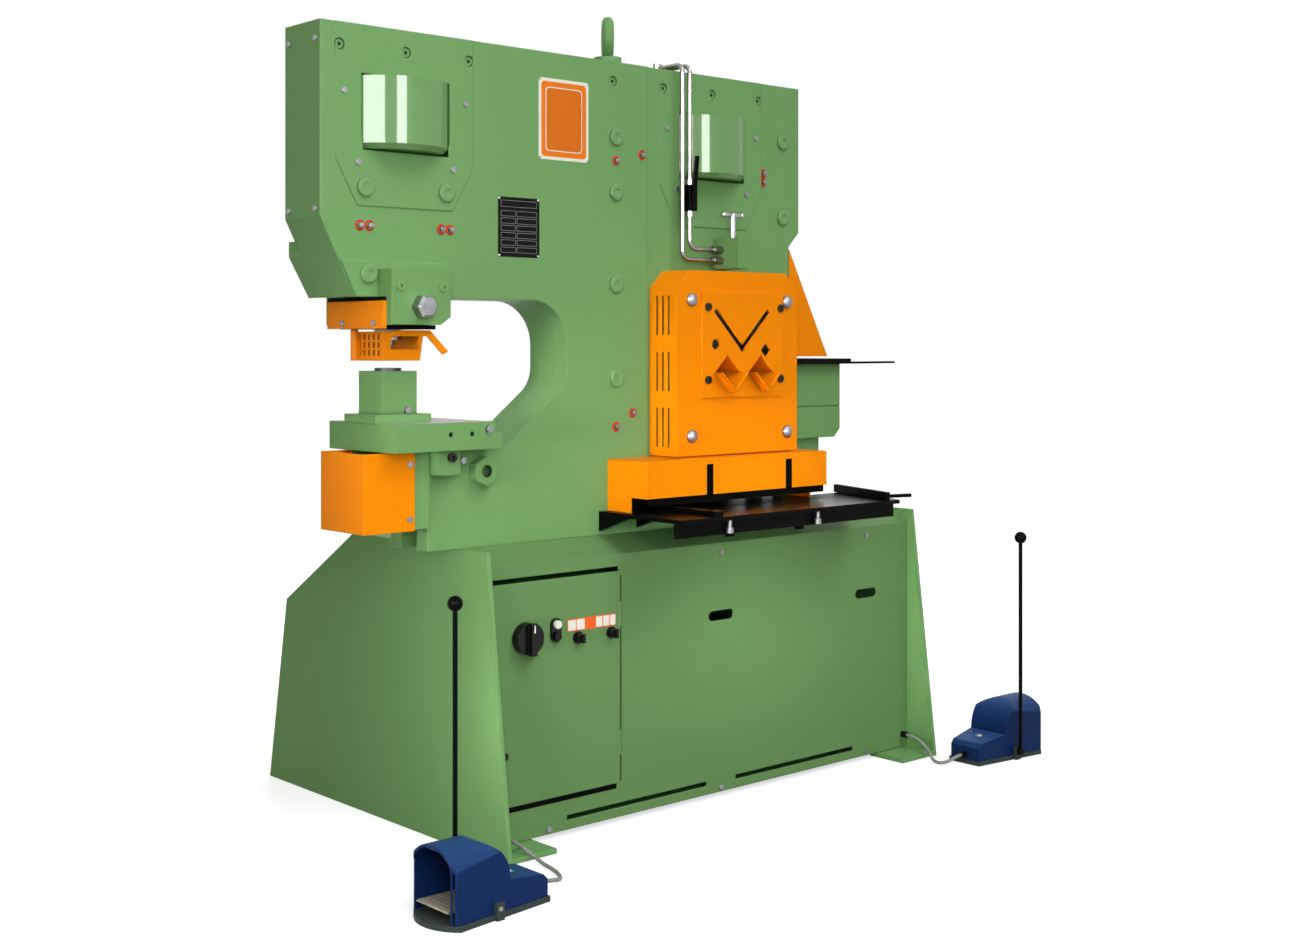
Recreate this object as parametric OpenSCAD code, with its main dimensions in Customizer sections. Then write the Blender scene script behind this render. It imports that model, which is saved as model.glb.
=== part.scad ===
// Hydraulic ironworker: punch, section shear, flat-bar shear and notcher on one base.
// Millimetres, +Z up, X along the front with the punch at -X, front face towards -Y.
// The origin is on the floor at the centre of the four anchor holes.

/* [Base] */
// Length of the base over its side plates
base_len = 1538; // [1500:1:1580]
// Depth of the base at the floor
base_depth = 1080; // [1040:1:1120]
// Height of the deck that the frame stands on
base_top_z = 702; // [690:1:715]
// Thickness of the side plates
side_plate_t = 12; // [8:1:16]
// Sheet thickness of the panels
panel_t = 4; // [3:0.5:5]
// How far the front panel stands behind the front edge of the base
panel_back = 99; // [90:1:105]
// Height of the bend between the front panel and the apron
apron_low_z = 664; // [650:1:670]
// Thickness of the deck plate
deck_t = 12; // [8:1:16]
// Thickness of the foot plates
foot_t = 12; // [8:1:16]
// How far the anchor holes stand inside the ends of the base
anchor_in_x = 69; // [60:1:78]
// How far the anchor holes stand inside its front and rear
anchor_in_y = 65; // [56:1:74]
// Radius of the anchor holes
anchor_r = 11; // [8:0.5:13]

/* [Frame] */
// How far the frame's middle stands behind the front edge of the base
frame_set = 266.5; // [260:0.5:272]
// Thickness of the frame over both plates
frame_t = 150; // [146:1:156]
// Thickness of one frame plate
plate_t = 42; // [38:1:45]
// Height of the top edge
frame_top_z = 1900; // [1880:1:1930]
// Right end of the upper frame
frame_right_x = 400; // [390:1:410]
// Right end of the lower frame
frame_low_right_x = 360; // [350:1:366]
// Underside of the punch head
head_low_z = 1290; // [1285:1:1296]
// Back wall of the throat
throat_x = -442; // [-450:1:-420]
// Radius of the upper throat corner
throat_r = 110; // [80:1:125]
// Radius of the lower throat corner
throat_low_r = 80; // [60:1:95]
// Thickness of the throat liner
liner_t = 12; // [8:1:16]
// Thickness of the end cover sheet
cover_t = 4; // [2:0.5:6]

/* [Punch station] */
// Axis of the punch
punch_x = -918; // [-925:1:-912]
// Radius of both cylinder barrels
barrel_r = 138; // [132:1:142]
// Radius of the ram's shank
ram_r = 26; // [22:0.5:28]
// Radius of the punch's point
punch_r = 10; // [6:0.5:12]
// Stroke of the punch
punch_stroke = 50; // [30:1:55]
// Height of the die's top face
die_top_z = 1128; // [1126:1:1132]
// Height of the die table's top face
table_top_z = 1003; // [995:1:1008]
// Thickness of the die table
table_t = 65; // [55:1:70]
// Sheet thickness of the guards
guard_t = 3; // [2:0.5:4]

/* [Shear station] */
// Middle of the shear station
shear_x = 60; // [52:1:66]
// Stroke of the shear slide
shear_stroke = 40; // [20:1:42]
// Width of the section guard
section_guard_w = 445; // [425:1:455]
// Depth of the section guard
section_guard_d = 104.5; // [95:0.5:115]
// Height of the shear table's top face
shear_table_z = 762; // [757:1:768]
// How far the section guard's lower edge stands above the shear table
section_guard_rise = 133; // [128:1:138]
// Thickness of the shear table
shear_table_t = 10; // [6:1:12]
// Outer radius of the hydraulic pipes
pipe_r = 6; // [4:0.5:7]
// Height of the notcher table's top face
notch_z = 1141; // [1136:1:1144]

/* [Controls] */
// Width of the control door
door_w = 394; // [380:1:396]
// Height of the control door
door_h = 516; // [500:1:520]
// Radius of the main switch
main_switch_r = 38; // [30:1:42]

/* [Foot switches] */
// Length of a foot switch
pedal_len = 290; // [270:1:300]
// Width of a foot switch at its mouth
pedal_w = 164; // [150:1:170]
// Height of the foot guard
pedal_h = 162; // [145:1:175]
// Height of the hand lever's ball
lever_z = 632; // [560:1:680]
// Wall of the foot guard
pedal_wall = 5; // [3:0.5:6]

/* [Hidden] */
$fn = 48;

// Overrun of every cut, running clearance, and steps in an outline's arc
over = 5;
run_gap = 0.3;
arc_steps = 12;
hex_sides = 6;

// Colours
green = "#6f9f62";
dark_green = "#557a48";
orange = "#f08a0a";
black = "#1c1d1e";
dark_grey = "#4a4f50";
steel = "#b9bdc0";
blue = "#26468a";
grey = "#a8a59c";

// Planes of the frame
frame_y = -base_depth / 2 + frame_set;
front_y = frame_y - frame_t / 2;
rear_y = frame_y + frame_t / 2;
gap_front_y = front_y + plate_t;
gap_rear_y = rear_y - plate_t;
gap_half = frame_t / 2 - plate_t;
slide_half_d = gap_half - run_gap;
step_x = -175;
step_d = 6;
shear_front_y = front_y + step_d;
field_d = 3;
pad_d = 6;

// Outline of the frame plates
head_half_w = 221;
head_low_half_w = 134;
head_slope_h = 175;
jaw_set = 58;
throat_low_drop = 165;
throat_slope = 52;
right_step_drop = 405;
head_x = punch_x - head_half_w;
head_low_x = punch_x - head_low_half_w;
head_slope_z = head_low_z + head_slope_h;
jaw_x = punch_x + jaw_set;
jaw_z = table_top_z - table_t;
throat_low_z = head_low_z - throat_low_drop;
right_step_z = frame_top_z - right_step_drop;
right_step = frame_right_x - frame_low_right_x;

// Ram guide under the head, with the pads that its cheeks bear on
guide_half_w = 80;
guide_half_d = 138.5;
guide_h = 63;
cheek_h = 62;
guide_cut_w = 28;
guide_cut_h = 18;
guide_screw_inset = 22;
guide_screw_drop = 38;
pad_reach = 49;
pad_corner = 18;
guide_low_z = head_low_z - guide_h;
guide_top_z = head_low_z + cheek_h;
guide_left_x = punch_x - guide_half_w;
guide_right_x = punch_x + guide_half_w;
pad_right_x = guide_right_x + pad_reach;

// Cylinder windows and barrels
window_half_w = 120.5;
window_drop = 281;
window_h = 172;
window_cut = 28;
barrel_gap = 4;
barrel_bevel = 12;
field_half_w = 187;
field_foot_half_w = 129;
field_h = 406;
field_shoulder_h = 302;
cylinder_head_half_w = 110;
cylinder_head_h = 52;
rod_r = 28;
window_low_z = frame_top_z - window_drop;
barrel_low_z = window_low_z + barrel_gap;
barrel_top_z = window_low_z + window_h - barrel_gap;
field_low_z = frame_top_z - field_h;
field_shoulder_z = frame_top_z - field_shoulder_h;

// Fasteners of the frame: top screws, tie bolts, small screws and grease nipples
top_screw_pitch = 176;
top_screw_drop = 50;
socket_r = 10.5;
socket_h = 10;
counterbore_r = 13;
counterbore_d = 14;
tie_r = 22;
tie_h = 8;
tie_bevel = 2;
tie_dimple_r = 8;
tie_dimple_d = 2;
tie_side_x = 110;
tie_side_drop = 364;
tie_pad_x = 104;
tie_pad_rise = 52;
tie_column_set = 159;
tie_column_rise = [419, 279, 45, -193];
tie_end_set = 65;
tie_end_drop = [154, 365];
screw_r = 7;
screw_h = 4;
field_screw_inset = 22;
cover_screw_inset = 18;
cover_screw_drop = 40;
nipple_r = 6;
nipple_h = 9;
nipple_tip_r = 3.5;
nipple_tip_h = 5;
nipple_half_pair = 12.5;
nipple_drop = 86;
nipple_rise = [10, 31];
nipple_step_inset = 20;
nipple_end_set = 77;
nipple_foot_set = 56;
nipple_foot_drop = [90, 124];
top_screw_z = frame_top_z - top_screw_drop;
tie_side_z = frame_top_z - tie_side_drop;
tie_pad_z = head_low_z + tie_pad_rise;
tie_column_x = throat_x + tie_column_set;
tie_column_z = [for (h = tie_column_rise) head_low_z + h];
tie_end_x = frame_right_x - tie_end_set;
tie_end_z = [for (d = tie_end_drop) frame_top_z - d];

// Punch tooling
stripper_t = 10;
stripper_half_w = 80;
stripper_half_d = 78;
stripper_bore_r = 38;
nut_r = 32;
nut_die_gap = 15;
nut_guide_gap = 4;
ram_half_w = 65;
ram_gap = 10;
ram_h = 190;
shoulder_r = 16;
shoulder_gap = 3;
punch_gap = 22;
punch_fit = 0.5;
die_r = 31;
die_h = 28;
die_stand = 7;
slug_r = 17;
block_half = 48;
flange_half_w = 76;
flange_half_d = 66;
flange_t = 19;
set_screw_r = 8;
set_screw_h = 9;
set_screw_x = 20;
set_screw_rise = 9;
stripper_low_z = guide_low_z - stripper_t;
nut_low_z = die_top_z + punch_stroke + nut_die_gap;
nut_top_z = guide_low_z - nut_guide_gap;
ram_low_z = head_low_z + punch_stroke + ram_gap;
ram_top_z = ram_low_z + ram_h;
shoulder_z = die_top_z + punch_stroke + shoulder_gap;
punch_low_z = die_top_z + punch_gap;

// Die table with its lower step on the right, and the clamp under it
table_half_d = 139.5;
table_left_w = 71;
table_right_w = 228;
table_step_w = 30;
table_step_h = 28;
stop_w = 14;
stop_d = 22;
table_hole_r = 6;
table_hole_set = [80, 140];
table_hole_drop = 28;
table_hole_d = 20;
clamp_set = 4;
clamp_w = 64;
clamp_h = 58;
clamp_d = 38;
clamp_screw_x = 37;
clamp_screw_drop = 17;
clamp_nut_set = 149;
clamp_nut_drop = 55;
clamp_nut_r = 36;
clamp_nut_d = 32;
clamp_socket_r = 15;
clamp_pin_set = 20;
clamp_pin_drop = 27;
clamp_pin_r = 8;
clamp_pin_d = 24;
stop_screw_set = 12;
stop_screw_drop = 18;
stop_screw_r = 9;
stop_screw_h = 10;
table_left_x = punch_x - table_left_w;
table_right_x = punch_x + table_right_w;
clamp_x = jaw_x + clamp_set;
clamp_nut_x = jaw_x + clamp_nut_set;
clamp_nut_z = jaw_z - clamp_nut_drop;

// Slug cover on its bracket
slug_w = 139;
slug_overhang = 53;
slug_half_d = 89.5;
slug_h = 181;
slug_gap = 2;
slug_screw_inset = 14;
slug_screw_end = 28;
bracket_t = 4;
bracket_reach = 60;
slug_left_x = table_left_x - slug_overhang;
slug_right_x = slug_left_x + slug_w;
slug_top_z = jaw_z - slug_gap;
slug_low_z = slug_top_z - slug_h;
bracket_left_x = slug_right_x - bracket_reach;

// Terminal box behind the head's slope
terminal_in = 35;
terminal_w = 58;
terminal_d = 52;
terminal_rise = 93;
terminal_h = 128;
terminal_x = head_x + terminal_in;

// Ram cover and clamp knob
ram_cover_half_d = 118;
ram_cover_w = 10;
ram_cover_screw_shares = [-0.7, 0.42];
ram_cover_drop = 9;
ram_cover_h = 63;
ram_cover_screw_rise = 12;
knob_rise = 41;
knob_r = 28;
knob_d = 32;
knob_bevel = 6;
knob_shaft_r = 9;
knob_shaft_d = 30;
ram_cover_left_x = guide_left_x - ram_cover_w;
ram_cover_low_z = guide_low_z - ram_cover_drop;
ram_cover_top_z = ram_cover_low_z + ram_cover_h;
knob_z = guide_low_z + knob_rise;

// Swing guard of the punch: sheet basket, pivot pin, handle
basket_left_w = 56;
basket_right_w = 55;
basket_lean = 10;
basket_front_d = 66;
basket_rear_d = 60;
basket_die_gap = 17;
basket_gap = 5;
basket_t = 4;
grid_cols = 5;
grid_rows = 3;
grid_w = 13;
grid_h = 14;
grid_d = 2.5;
grid_pitch_y = 20;
grid_pitch_z = 18;
arch_w = 35;
arch_rise = 26;
arch_drop = 9;
arch_cut = 12;
pivot_set = 10;
pivot_back = 38;
pivot_r = 6;
pivot_depth = 9;
lug_r = 9;
handle_w = 14;
handle_t = 6;
handle_gap = 2;
handle_foot_w = 40;
handle_bend_w = 62;
handle_end_w = 120;
handle_drop = 56;
basket_left_x = punch_x - basket_left_w;
basket_right_x = punch_x + basket_right_w;
basket_front_y = frame_y - basket_front_d;
basket_rear_y = frame_y + basket_rear_d;
basket_low_z = die_top_z + basket_die_gap;
basket_top_z = stripper_low_z - basket_gap;
pivot_x = basket_left_x - pivot_set;
pivot_y = frame_y + pivot_back;
handle_top_z = stripper_low_z - handle_gap;
handle_foot_x = punch_x - handle_foot_w;
handle_bend_x = punch_x + handle_bend_w;
handle_end_x = punch_x + handle_end_w;

// Shear windows, fixed blades and slide, set by the height of the section guard
guard_h = 478;
guard_low_z = shear_table_z + section_guard_rise;
section_guard_top_z = guard_low_z + guard_h;
section_left_w = 130;
section_right_w = 152;
section_low_drop = 323;
section_top_drop = 61;
mouth_left_w = 330;
mouth_right_w = 270;
mouth_h = 84;
blade_h = 20;
blade_lap = 2;
slide_left_w = 180;
slide_right_w = 235;
slide_rake = 20;
slide_rise = 107;
arm_reach = 90;
arm_gap = 4;
arm_h = 60;
notch_punch_w = 70;
notch_punch_half_d = 24;
notch_punch_gap = 12;
notch_gap = 1;
section_x0 = shear_x - section_left_w;
section_x1 = shear_x + section_right_w;
section_z0 = section_guard_top_z - section_low_drop;
section_z1 = section_guard_top_z - section_top_drop;
mouth_x0 = shear_x - mouth_left_w;
mouth_x1 = shear_x + mouth_right_w;
slide_x0 = shear_x - slide_left_w;
slide_x1 = shear_x + slide_right_w;
slide_low_z = shear_table_z + shear_stroke - slide_rake - blade_lap;
slide_top_z = section_guard_top_z + slide_rise;
arm_x1 = frame_low_right_x + arm_reach;
arm_z0 = notch_z + shear_stroke + arm_gap;
notch_punch_x0 = arm_x1 - notch_punch_w;
notch_punch_z = notch_z + notch_punch_gap;

// Section plate: margins round the window, and the apertures for angle, round, square and bars
plate_margin = 10;
plate_margin_z = 6;
section_plate_t = 6;
plate_screw_inset = [21, 12];
plate_screw_drop = 39;
plate_screw_rise = 46;
sight_inset = 25;
sight_inset_z = 12;
vee_set = 7;
vee_drop = 201;
vee_reach = 99;
vee_w = 14;
vee_root_r = 10;
round_set = 90;
round_drop = 191;
round_r = 14;
square_set = 95;
square_drop = 207;
square_side = 27;
bar_set = [-48, 76];
bar_drop = 264;
bar_side = 36;
bar_tube_side = 64;
trough_d = 30;
trough_t = 4;
plate_x0 = section_x0 - plate_margin;
plate_x1 = section_x1 + plate_margin;
plate_z0 = section_z0 - plate_margin_z;
plate_z1 = section_z1 + plate_margin_z;
vee_x = shear_x + vee_set;
vee_z = section_guard_top_z - vee_drop;
bar_x = [for (d = bar_set) shear_x + d];
bar_z = section_guard_top_z - bar_drop;

// Section guard: chamfers, louvres and the four dome nuts
guard_chamfer = 45;
louvre_w = 7;
louvre_h = 101;
louvre_cols = 3;
louvre_rows = 3;
louvre_pitch_y = 22;
louvre_pitch_z = 144;
louvre_inset = 28;
louvre_rise = 23;
dome_r = 17;
dome_h = 5;
dome_cap = 10;
dome_inset = [50, 41];
dome_rise = 51;
dome_drop = 76;
guard_x0 = shear_x - section_guard_w / 2;
guard_x1 = shear_x + section_guard_w / 2;
guard_front_y = shear_front_y - section_guard_d;
louvre_y0 = shear_front_y - louvre_inset;
louvre_z0 = guard_low_z + louvre_rise;
dome_x = [guard_x0 + dome_inset[0], guard_x1 - dome_inset[1]];
dome_z = [guard_low_z + dome_rise, section_guard_top_z - dome_drop];

// Flat-shear guard
flat_left_w = 371;
flat_right_w = 285;
flat_d = 150;
flat_gap = 3;
flat_rise = 38;
flat_cheek_d = 90;
flat_slot_w = 26;
flat_slot_h = 77;
flat_slot_set = [-167, 124];
flat_x0 = shear_x - flat_left_w;
flat_x1 = shear_x + flat_right_w;
flat_front_y = front_y - flat_d;
flat_top_z = guard_low_z - flat_gap;
flat_low_z = shear_table_z + flat_rise;

// Shear table with its ribs, legs and fences
table_overhang = 29;
table_d = 307;
table_rib_w = 140;
wing_w = 120;
wing_lean = 95;
wing_back = 46;
rib_t = 14;
rib_h = 40;
rib_d = 110;
lip_h = 36;
lip_t = 6;
lip_back = 22;
stop_bolt_set = [-229, 90];
stop_bolt_r = 5;
stop_bolt_h = 20;
stop_head_r = 9;
stop_head_h = 13;
leg_r = 8;
leg_pad_r = 13;
leg_pad_h = 10;
leg_back = 16;
leg_set = [-12, 255];
fence_w = 30;
fence_t = 13;
fence_len = 285;
fence_set = 118;
fence_in = 10;
side_fence_t = 12;
side_fence_h = 22;
side_fence_len = 285;
side_fence_set = 75;
side_fence_turn = 18.7;
side_rod_r = 5;
side_rod_len = 68;
flap_lap = 14;
flap_d = 110;
flap_t = 3;
flap_edge = 12;
flap_gap = 14;
shear_table_x0 = flat_x0 - table_overhang;
shear_table_x1 = flat_x1 + wing_w;
shear_table_low_z = shear_table_z - shear_table_t;
shear_table_front_y = front_y - table_d;
leg_y = -base_depth / 2 + panel_back + leg_back;
leg_x = [for (d = leg_set) shear_x + d];

// Hold-down with its screw
hold_set = 7;
hold_w = 44;
hold_d = 95;
hold_gap = 10;
hold_h = 82;
hold_screw_d = 52;
hold_screw_r = 8;
hold_screw_in = 40;
hold_screw_out = 62;
tee_half = 33;
tee_r = 6;
tee_ball_r = 8;
hold_x0 = shear_x + hold_set;
hold_x1 = hold_x0 + hold_w;
hold_low_z = section_guard_top_z + hold_gap;
hold_screw_x = (hold_x0 + hold_x1) / 2;
hold_screw_y = shear_front_y - hold_screw_d;

// Pipes past the shear cylinder, and the ball valve in the second one
pipe_d = 30;
pipe_inset = 30;
pipe_pitch = 26;
pipe_bend_r = 22;
pipe_rise = 14;
pipe_end_rise = [22, 50];
pipe_nut_r = 11;
pipe_nut_len = 32;
pipe_banjo_h = 26;
valve_drop = 53;
valve_half_h = 34;
valve_half_w = 14;
valve_cap_h = 16;
valve_stem_r = 5;
valve_stem_d = 12;
valve_lever_t = 4;
valve_lever_w = 12;
valve_lever_len = 110;
valve_hub_r = 10;
pipe_y = shear_front_y - pipe_d;
pipe_x = [for (k = [-1, 0]) shear_x - barrel_r + pipe_inset + k * pipe_pitch];
pipe_run_z = frame_top_z + pipe_rise;
pipe_end_z = [for (h = pipe_end_rise) hold_low_z + h];
valve_z = window_low_z - valve_drop;

// Notcher
notch_half_d = 62;
notch_w = 222;
notch_block_h = 210;
notch_table_t = 15;
notch_cut = 24;
notch_seam_h = 120;
notch_seam = 2;
notch_foot_w = 156;
notch_foot_half_d = 40;
notch_foot_rise = 30;
notch_table_gap = 4;
notch_table_w = 236;
notch_table_half_d = 90;
notch_die_d = 46;
notch_bar_len = 195;
notch_bar_w = 22;
notch_bar_t = 6;
notch_guard_w = 158;
notch_guard_h = 298;
notch_guard_gap = 7;
notch_guard_half_d = 72;
notch_table_x0 = frame_low_right_x + notch_table_gap;
notch_table_x1 = notch_table_x0 + notch_table_w;
notch_guard_x1 = frame_low_right_x + notch_guard_w;
notch_guard_low_z = notch_z + notch_guard_gap;
notch_guard_top_z = notch_guard_low_z + notch_guard_h;

// Base panels: planes, door opening, hand holes, vents
side_x = base_len / 2;
inner_x = side_x - side_plate_t;
panel_y = -base_depth / 2 + panel_back;
panel_gap = 2;
panel_low_z = foot_t + panel_gap;
hand_hole_r = 13;
hand_hole_half = 32;
hand_hole_z = 475;
hand_hole_x = 574;
vent_h = 12;
vent_z = 37;
vent_gap = 105;
vent_len = 466;
panel_screw_x = 575;
panel_screw_end = [12, 24];
gland_r = 9;
gland_len = 18;
gland_bore_r = 5;

// Side plates, feet and rear panel
side_front_lean = 85;
deck_back = 311.5;
side_rear_lean = 90;
side_rear_mid_z = 495;
rear_inset = 8;
foot_w = 132;
foot_d = 122;
foot_inset = 5;
foot_slot_half = 20;
foot_slot_r = 6;
foot_slot_set = 40;
floor_t = 6;
floor_rim = 12;
rear_vent_rows = 6;
rear_vent_pitch = 28;
rear_vent_w = 240;
rear_vent_h = 8;
rear_vent_z = 200;
anchor_x = base_len / 2 - anchor_in_x;
anchor_y = base_depth / 2 - anchor_in_y;
side_rear_top_y = rear_y + deck_back;
side_rear_mid_y = base_depth / 2 - side_rear_lean;

// Control door and cabinet
door_side = 9;
door_low_z = 100;
door_t = 3;
door_return = 10;
door_return_gap = 1;
door_return_set = 24;
opening_lap = 12;
slot_gap = 6;
slot_h = 12;
hinge_r = 2.7;
hinge_lap = 0.7;
hinge_len = 60;
hinge_inset = 70;
box_d = 180;
box_t = 2;
gear_plate_t = 3;
gear_plate_inset = 30;
gear_standoff = 12;
contactor_w = 45;
contactor_h = 54;
contactor_d = 70;
contactor_count = 4;
contactor_pitch = 62;
contactor_set = 8;
rail_h = 35;
rail_t = 8;
duct_w = 40;
duct_d = 50;
duct_set = 80;
door_x0 = -inner_x + door_side;
door_x1 = door_x0 + door_w;
door_z0 = door_low_z;
door_z1 = door_z0 + door_h;
door_y = panel_y - door_t;

// Controls on the door
switch_set = 97;
switch_drop = 124;
switch_d = 24;
switch_grip_w = 16;
switch_grip_d = 14;
switch_plate_r = 33;
switch_plate_t = 4;
spindle_r = 5;
button_set = 190;
button_rise = [22, -6];
button_r = 10;
button_d = 8;
button_travel = 4;
bezel_r = 15;
bezel_t = 7;
selector_set = [260, 366];
selector_drop = 18;
selector_r = 11;
selector_d = 12;
selector_grip_w = 7;
selector_grip_d = 10;
selector_ring_r = 15;
selector_ring_t = 5;
lock_set = 40;
lock_rise = 121;
lock_r = 9;
lock_t = 4;
switch_x = door_x0 + switch_set;
switch_z = door_z1 - switch_drop;
button_x = door_x0 + button_set;
button_z = [for (h = button_rise) switch_z + h];
selector_x = [for (d = selector_set) door_x0 + d];
selector_z = switch_z - selector_drop;

// Power unit in the base
tank_x0 = -230;
tank_w = 600;
tank_half_d = 190;
tank_back = 238.5;
tank_low_z = 60;
tank_h = 330;
tank_rail = 40;
motor_r = 95;
motor_h = 210;
motor_x = 200;
motor_flange_r = 115;
motor_flange_t = 14;
motor_fins = 8;
motor_fin_t = 6;
motor_fin_d = 12;
cowl_h = 30;
filler_r = 30;
filler_h = 35;
filler_x = -120;
tank_x1 = tank_x0 + tank_w;
tank_y = rear_y + tank_back;

// Lifting eye
eye_set = 195;
eye_ring_r = 40;
eye_bar_r = 15;
eye_turn = 52;
eye_collar_r = 36;
eye_collar_h = 23;
eye_sink = 4;
eye_x = throat_x + eye_set;

// Routes of the two pedal cords, from their glands on the front panel to the foot switches
cord_r = 4.5;
cord_sides = 10;
cord_unit = 1;
left_cord_in = 42;
right_cord_in = 22;
left_path = [
    [0, 0, 36], [0, -10, 36], [0, -24, 35], [1, -41, 32], [3, -61, 27], [5, -81, 21], [7, -101, 14],
    [7, -121, 8], [6, -141, 5], [3, -161, 5], [-2, -181, 5], [-9, -201, 5], [-18, -221, 6],
    [-30, -239, 8], [-45, -255, 12], [-63, -267, 17], [-85, -274, 22], [-105, -276, 25], [-115, -276, 25]
];
right_path = [
    [0, 0, 50], [0, -10, 50], [0, -24, 49], [-2, -41, 45], [-6, -61, 38], [-13, -81, 29],
    [-23, -99, 20], [-34, -117, 12], [-43, -133, 7], [-47, -149, 5], [-44.5, -164, 7],
    [-37, -176, 11.5], [-25, -184.5, 18.5], [-14, -188, 22.8], [-4.5, -189, 25], [5, -189, 25]
];
cord_y = panel_y - gland_len;
left_route = [for (p = left_path) [left_cord_in - inner_x, cord_y, 0] + cord_unit * p];
right_route = [for (p = right_path) [inner_x - right_cord_in, cord_y, 0] + cord_unit * p];
routes = [left_route, right_route];

// Foot switches, measured from the rear end of each, which its cord runs into
pedal_turn = [180, 0];
pedal_base_t = 12;
pedal_rear_w = 104;
pedal_nose_r = 110;
pedal_rear_h = 60;
pedal_neck_h = 74;
pedal_neck_set = 178;
pedal_roof_set = 85;
pedal_mouth_set = 22;
pedal_arch_h = 42;
pedal_trim = 4;
pedal_bend = 12;
axle_set = 140;
axle_z = 24;
axle_r = 5;
axle_notch = 0.6;
ear_w = 20;
ear_h = 36;
ear_t = 11;
treadle_side = 10;
treadle_t = 6;
treadle_rise = 8;
treadle_back = 14;
treadle_gap = 4;
lever_r = 5.5;
lever_ball_r = 17;
lever_hub_r = 10;
lever_hub_w = 12;
cord_gland_len = 15;
pedal_neck_x = pedal_len - pedal_neck_set;
pedal_roof_x = pedal_len - pedal_roof_set;
pedal_mouth_x = pedal_len - pedal_mouth_set;
pedal_side_h = pedal_h - pedal_arch_h;
pedal_wide_x = pedal_len - pedal_nose_r * (1 - cos(asin(pedal_w / 2 / pedal_nose_r)));
axle_x = pedal_len - axle_set;

// Helpers
function arc(c, r, a0, a1) =
    [for (i = [0:arc_steps]) let (a = a0 + (a1 - a0) * i / arc_steps) c + r * [cos(a), sin(a)]];
function turned(list) = [for (i = [len(list) - 1:-1:0]) list[i]];

module block(lo, hi) {
    translate(lo) cube(hi - lo);
}
module slab_xz(y0, y1) {
    translate([0, y1, 0]) rotate([90, 0, 0]) linear_extrude(y1 - y0) children();
}
module slab_yz(x0, x1) {
    translate([x0, 0, 0]) rotate([90, 0, 90]) linear_extrude(x1 - x0) children();
}
module slab_xy(z0, z1) {
    translate([0, 0, z0]) linear_extrude(z1 - z0) children();
}
module mid_block(x0, x1, half_d, z0, z1) {
    block([x0, frame_y - half_d, z0], [x1, frame_y + half_d, z1]);
}
module mid_slab(half_d) {
    slab_xz(frame_y - half_d, frame_y + half_d) children();
}
module mid_rod(x, z0, z1, r) {
    rod_z(x, frame_y, z0, z1, r);
}
module rod_x(x0, x1, y, z, r) {
    translate([x0, y, z]) rotate([0, 90, 0]) cylinder(r = r, h = x1 - x0);
}
module rod_y(x, y0, y1, z, r) {
    translate([x, y1, z]) rotate([90, 0, 0]) cylinder(r = r, h = y1 - y0);
}
module rod_z(x, y, z0, z1, r) {
    translate([x, y, z0]) cylinder(r = r, h = z1 - z0);
}
module obround(half, r) {
    translate([-half, -r]) square([2 * half, 2 * r]);
    for (s = [-1, 1]) translate([s * half, 0]) circle(r);
}
module diamond(side) {
    rotate(45) square(side, center = true);
}

// Frame outlines in X and Z
function throat_end(t) =
    let (c = [throat_x - throat_low_r, throat_low_z], r = throat_low_r + t,
         s = c + r * [cos(throat_slope), -sin(throat_slope)],
         k = (s[1] - jaw_z) / cos(throat_slope))
    [s[0] - k * sin(throat_slope), jaw_z];
function throat_line(t) = concat(
    [[guide_right_x, head_low_z + t]],
    arc([throat_x - throat_r, head_low_z - throat_r], throat_r + t, 90, 0),
    arc([throat_x - throat_low_r, throat_low_z], throat_low_r + t, 0, -throat_slope),
    [throat_end(t)]);

module plate_outline() {
    polygon(concat(
        [[head_x, frame_top_z], [frame_right_x, frame_top_z], [frame_right_x, right_step_z],
         [frame_low_right_x, right_step_z - right_step], [frame_low_right_x, base_top_z],
         [jaw_x, base_top_z], [jaw_x, jaw_z]],
        turned(throat_line(0)),
        [[head_low_x, head_low_z], [head_x, head_slope_z]]));
}
module window(x) {
    z0 = window_low_z;
    w = window_half_w;
    polygon([[x - w, z0 + window_h], [x - w, z0 + window_cut], [x - w + window_cut, z0],
             [x + w - window_cut, z0], [x + w, z0 + window_cut], [x + w, z0 + window_h]]);
}
module field(x) {
    polygon([[x - field_half_w, frame_top_z], [x - field_half_w, field_shoulder_z],
             [x - field_foot_half_w, field_low_z], [x + field_foot_half_w, field_low_z],
             [x + field_half_w, field_shoulder_z], [x + field_half_w, frame_top_z]]);
}
module pad() {
    slope = (head_low_x - head_x) / (head_slope_z - head_low_z);
    top = tie_pad_z + tie_r + pad_d;
    polygon([[head_low_x, head_low_z], [head_low_x - (top - head_low_z) * slope, top],
             [pad_right_x - pad_corner, top], [pad_right_x, top - pad_corner],
             [pad_right_x, head_low_z]]);
}

// Side plates: upright sheets whose front edges lean forward to the floor
module side_outline() {
    front = -base_depth / 2;
    polygon([[front, 0], [front + side_front_lean, base_top_z], [side_rear_top_y, base_top_z],
             [side_rear_mid_y, side_rear_mid_z], [base_depth / 2, 0]]);
}
module side_plates() {
    color(green) for (x = [-side_x, inner_x]) slab_yz(x, x + side_plate_t) side_outline();
}

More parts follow.
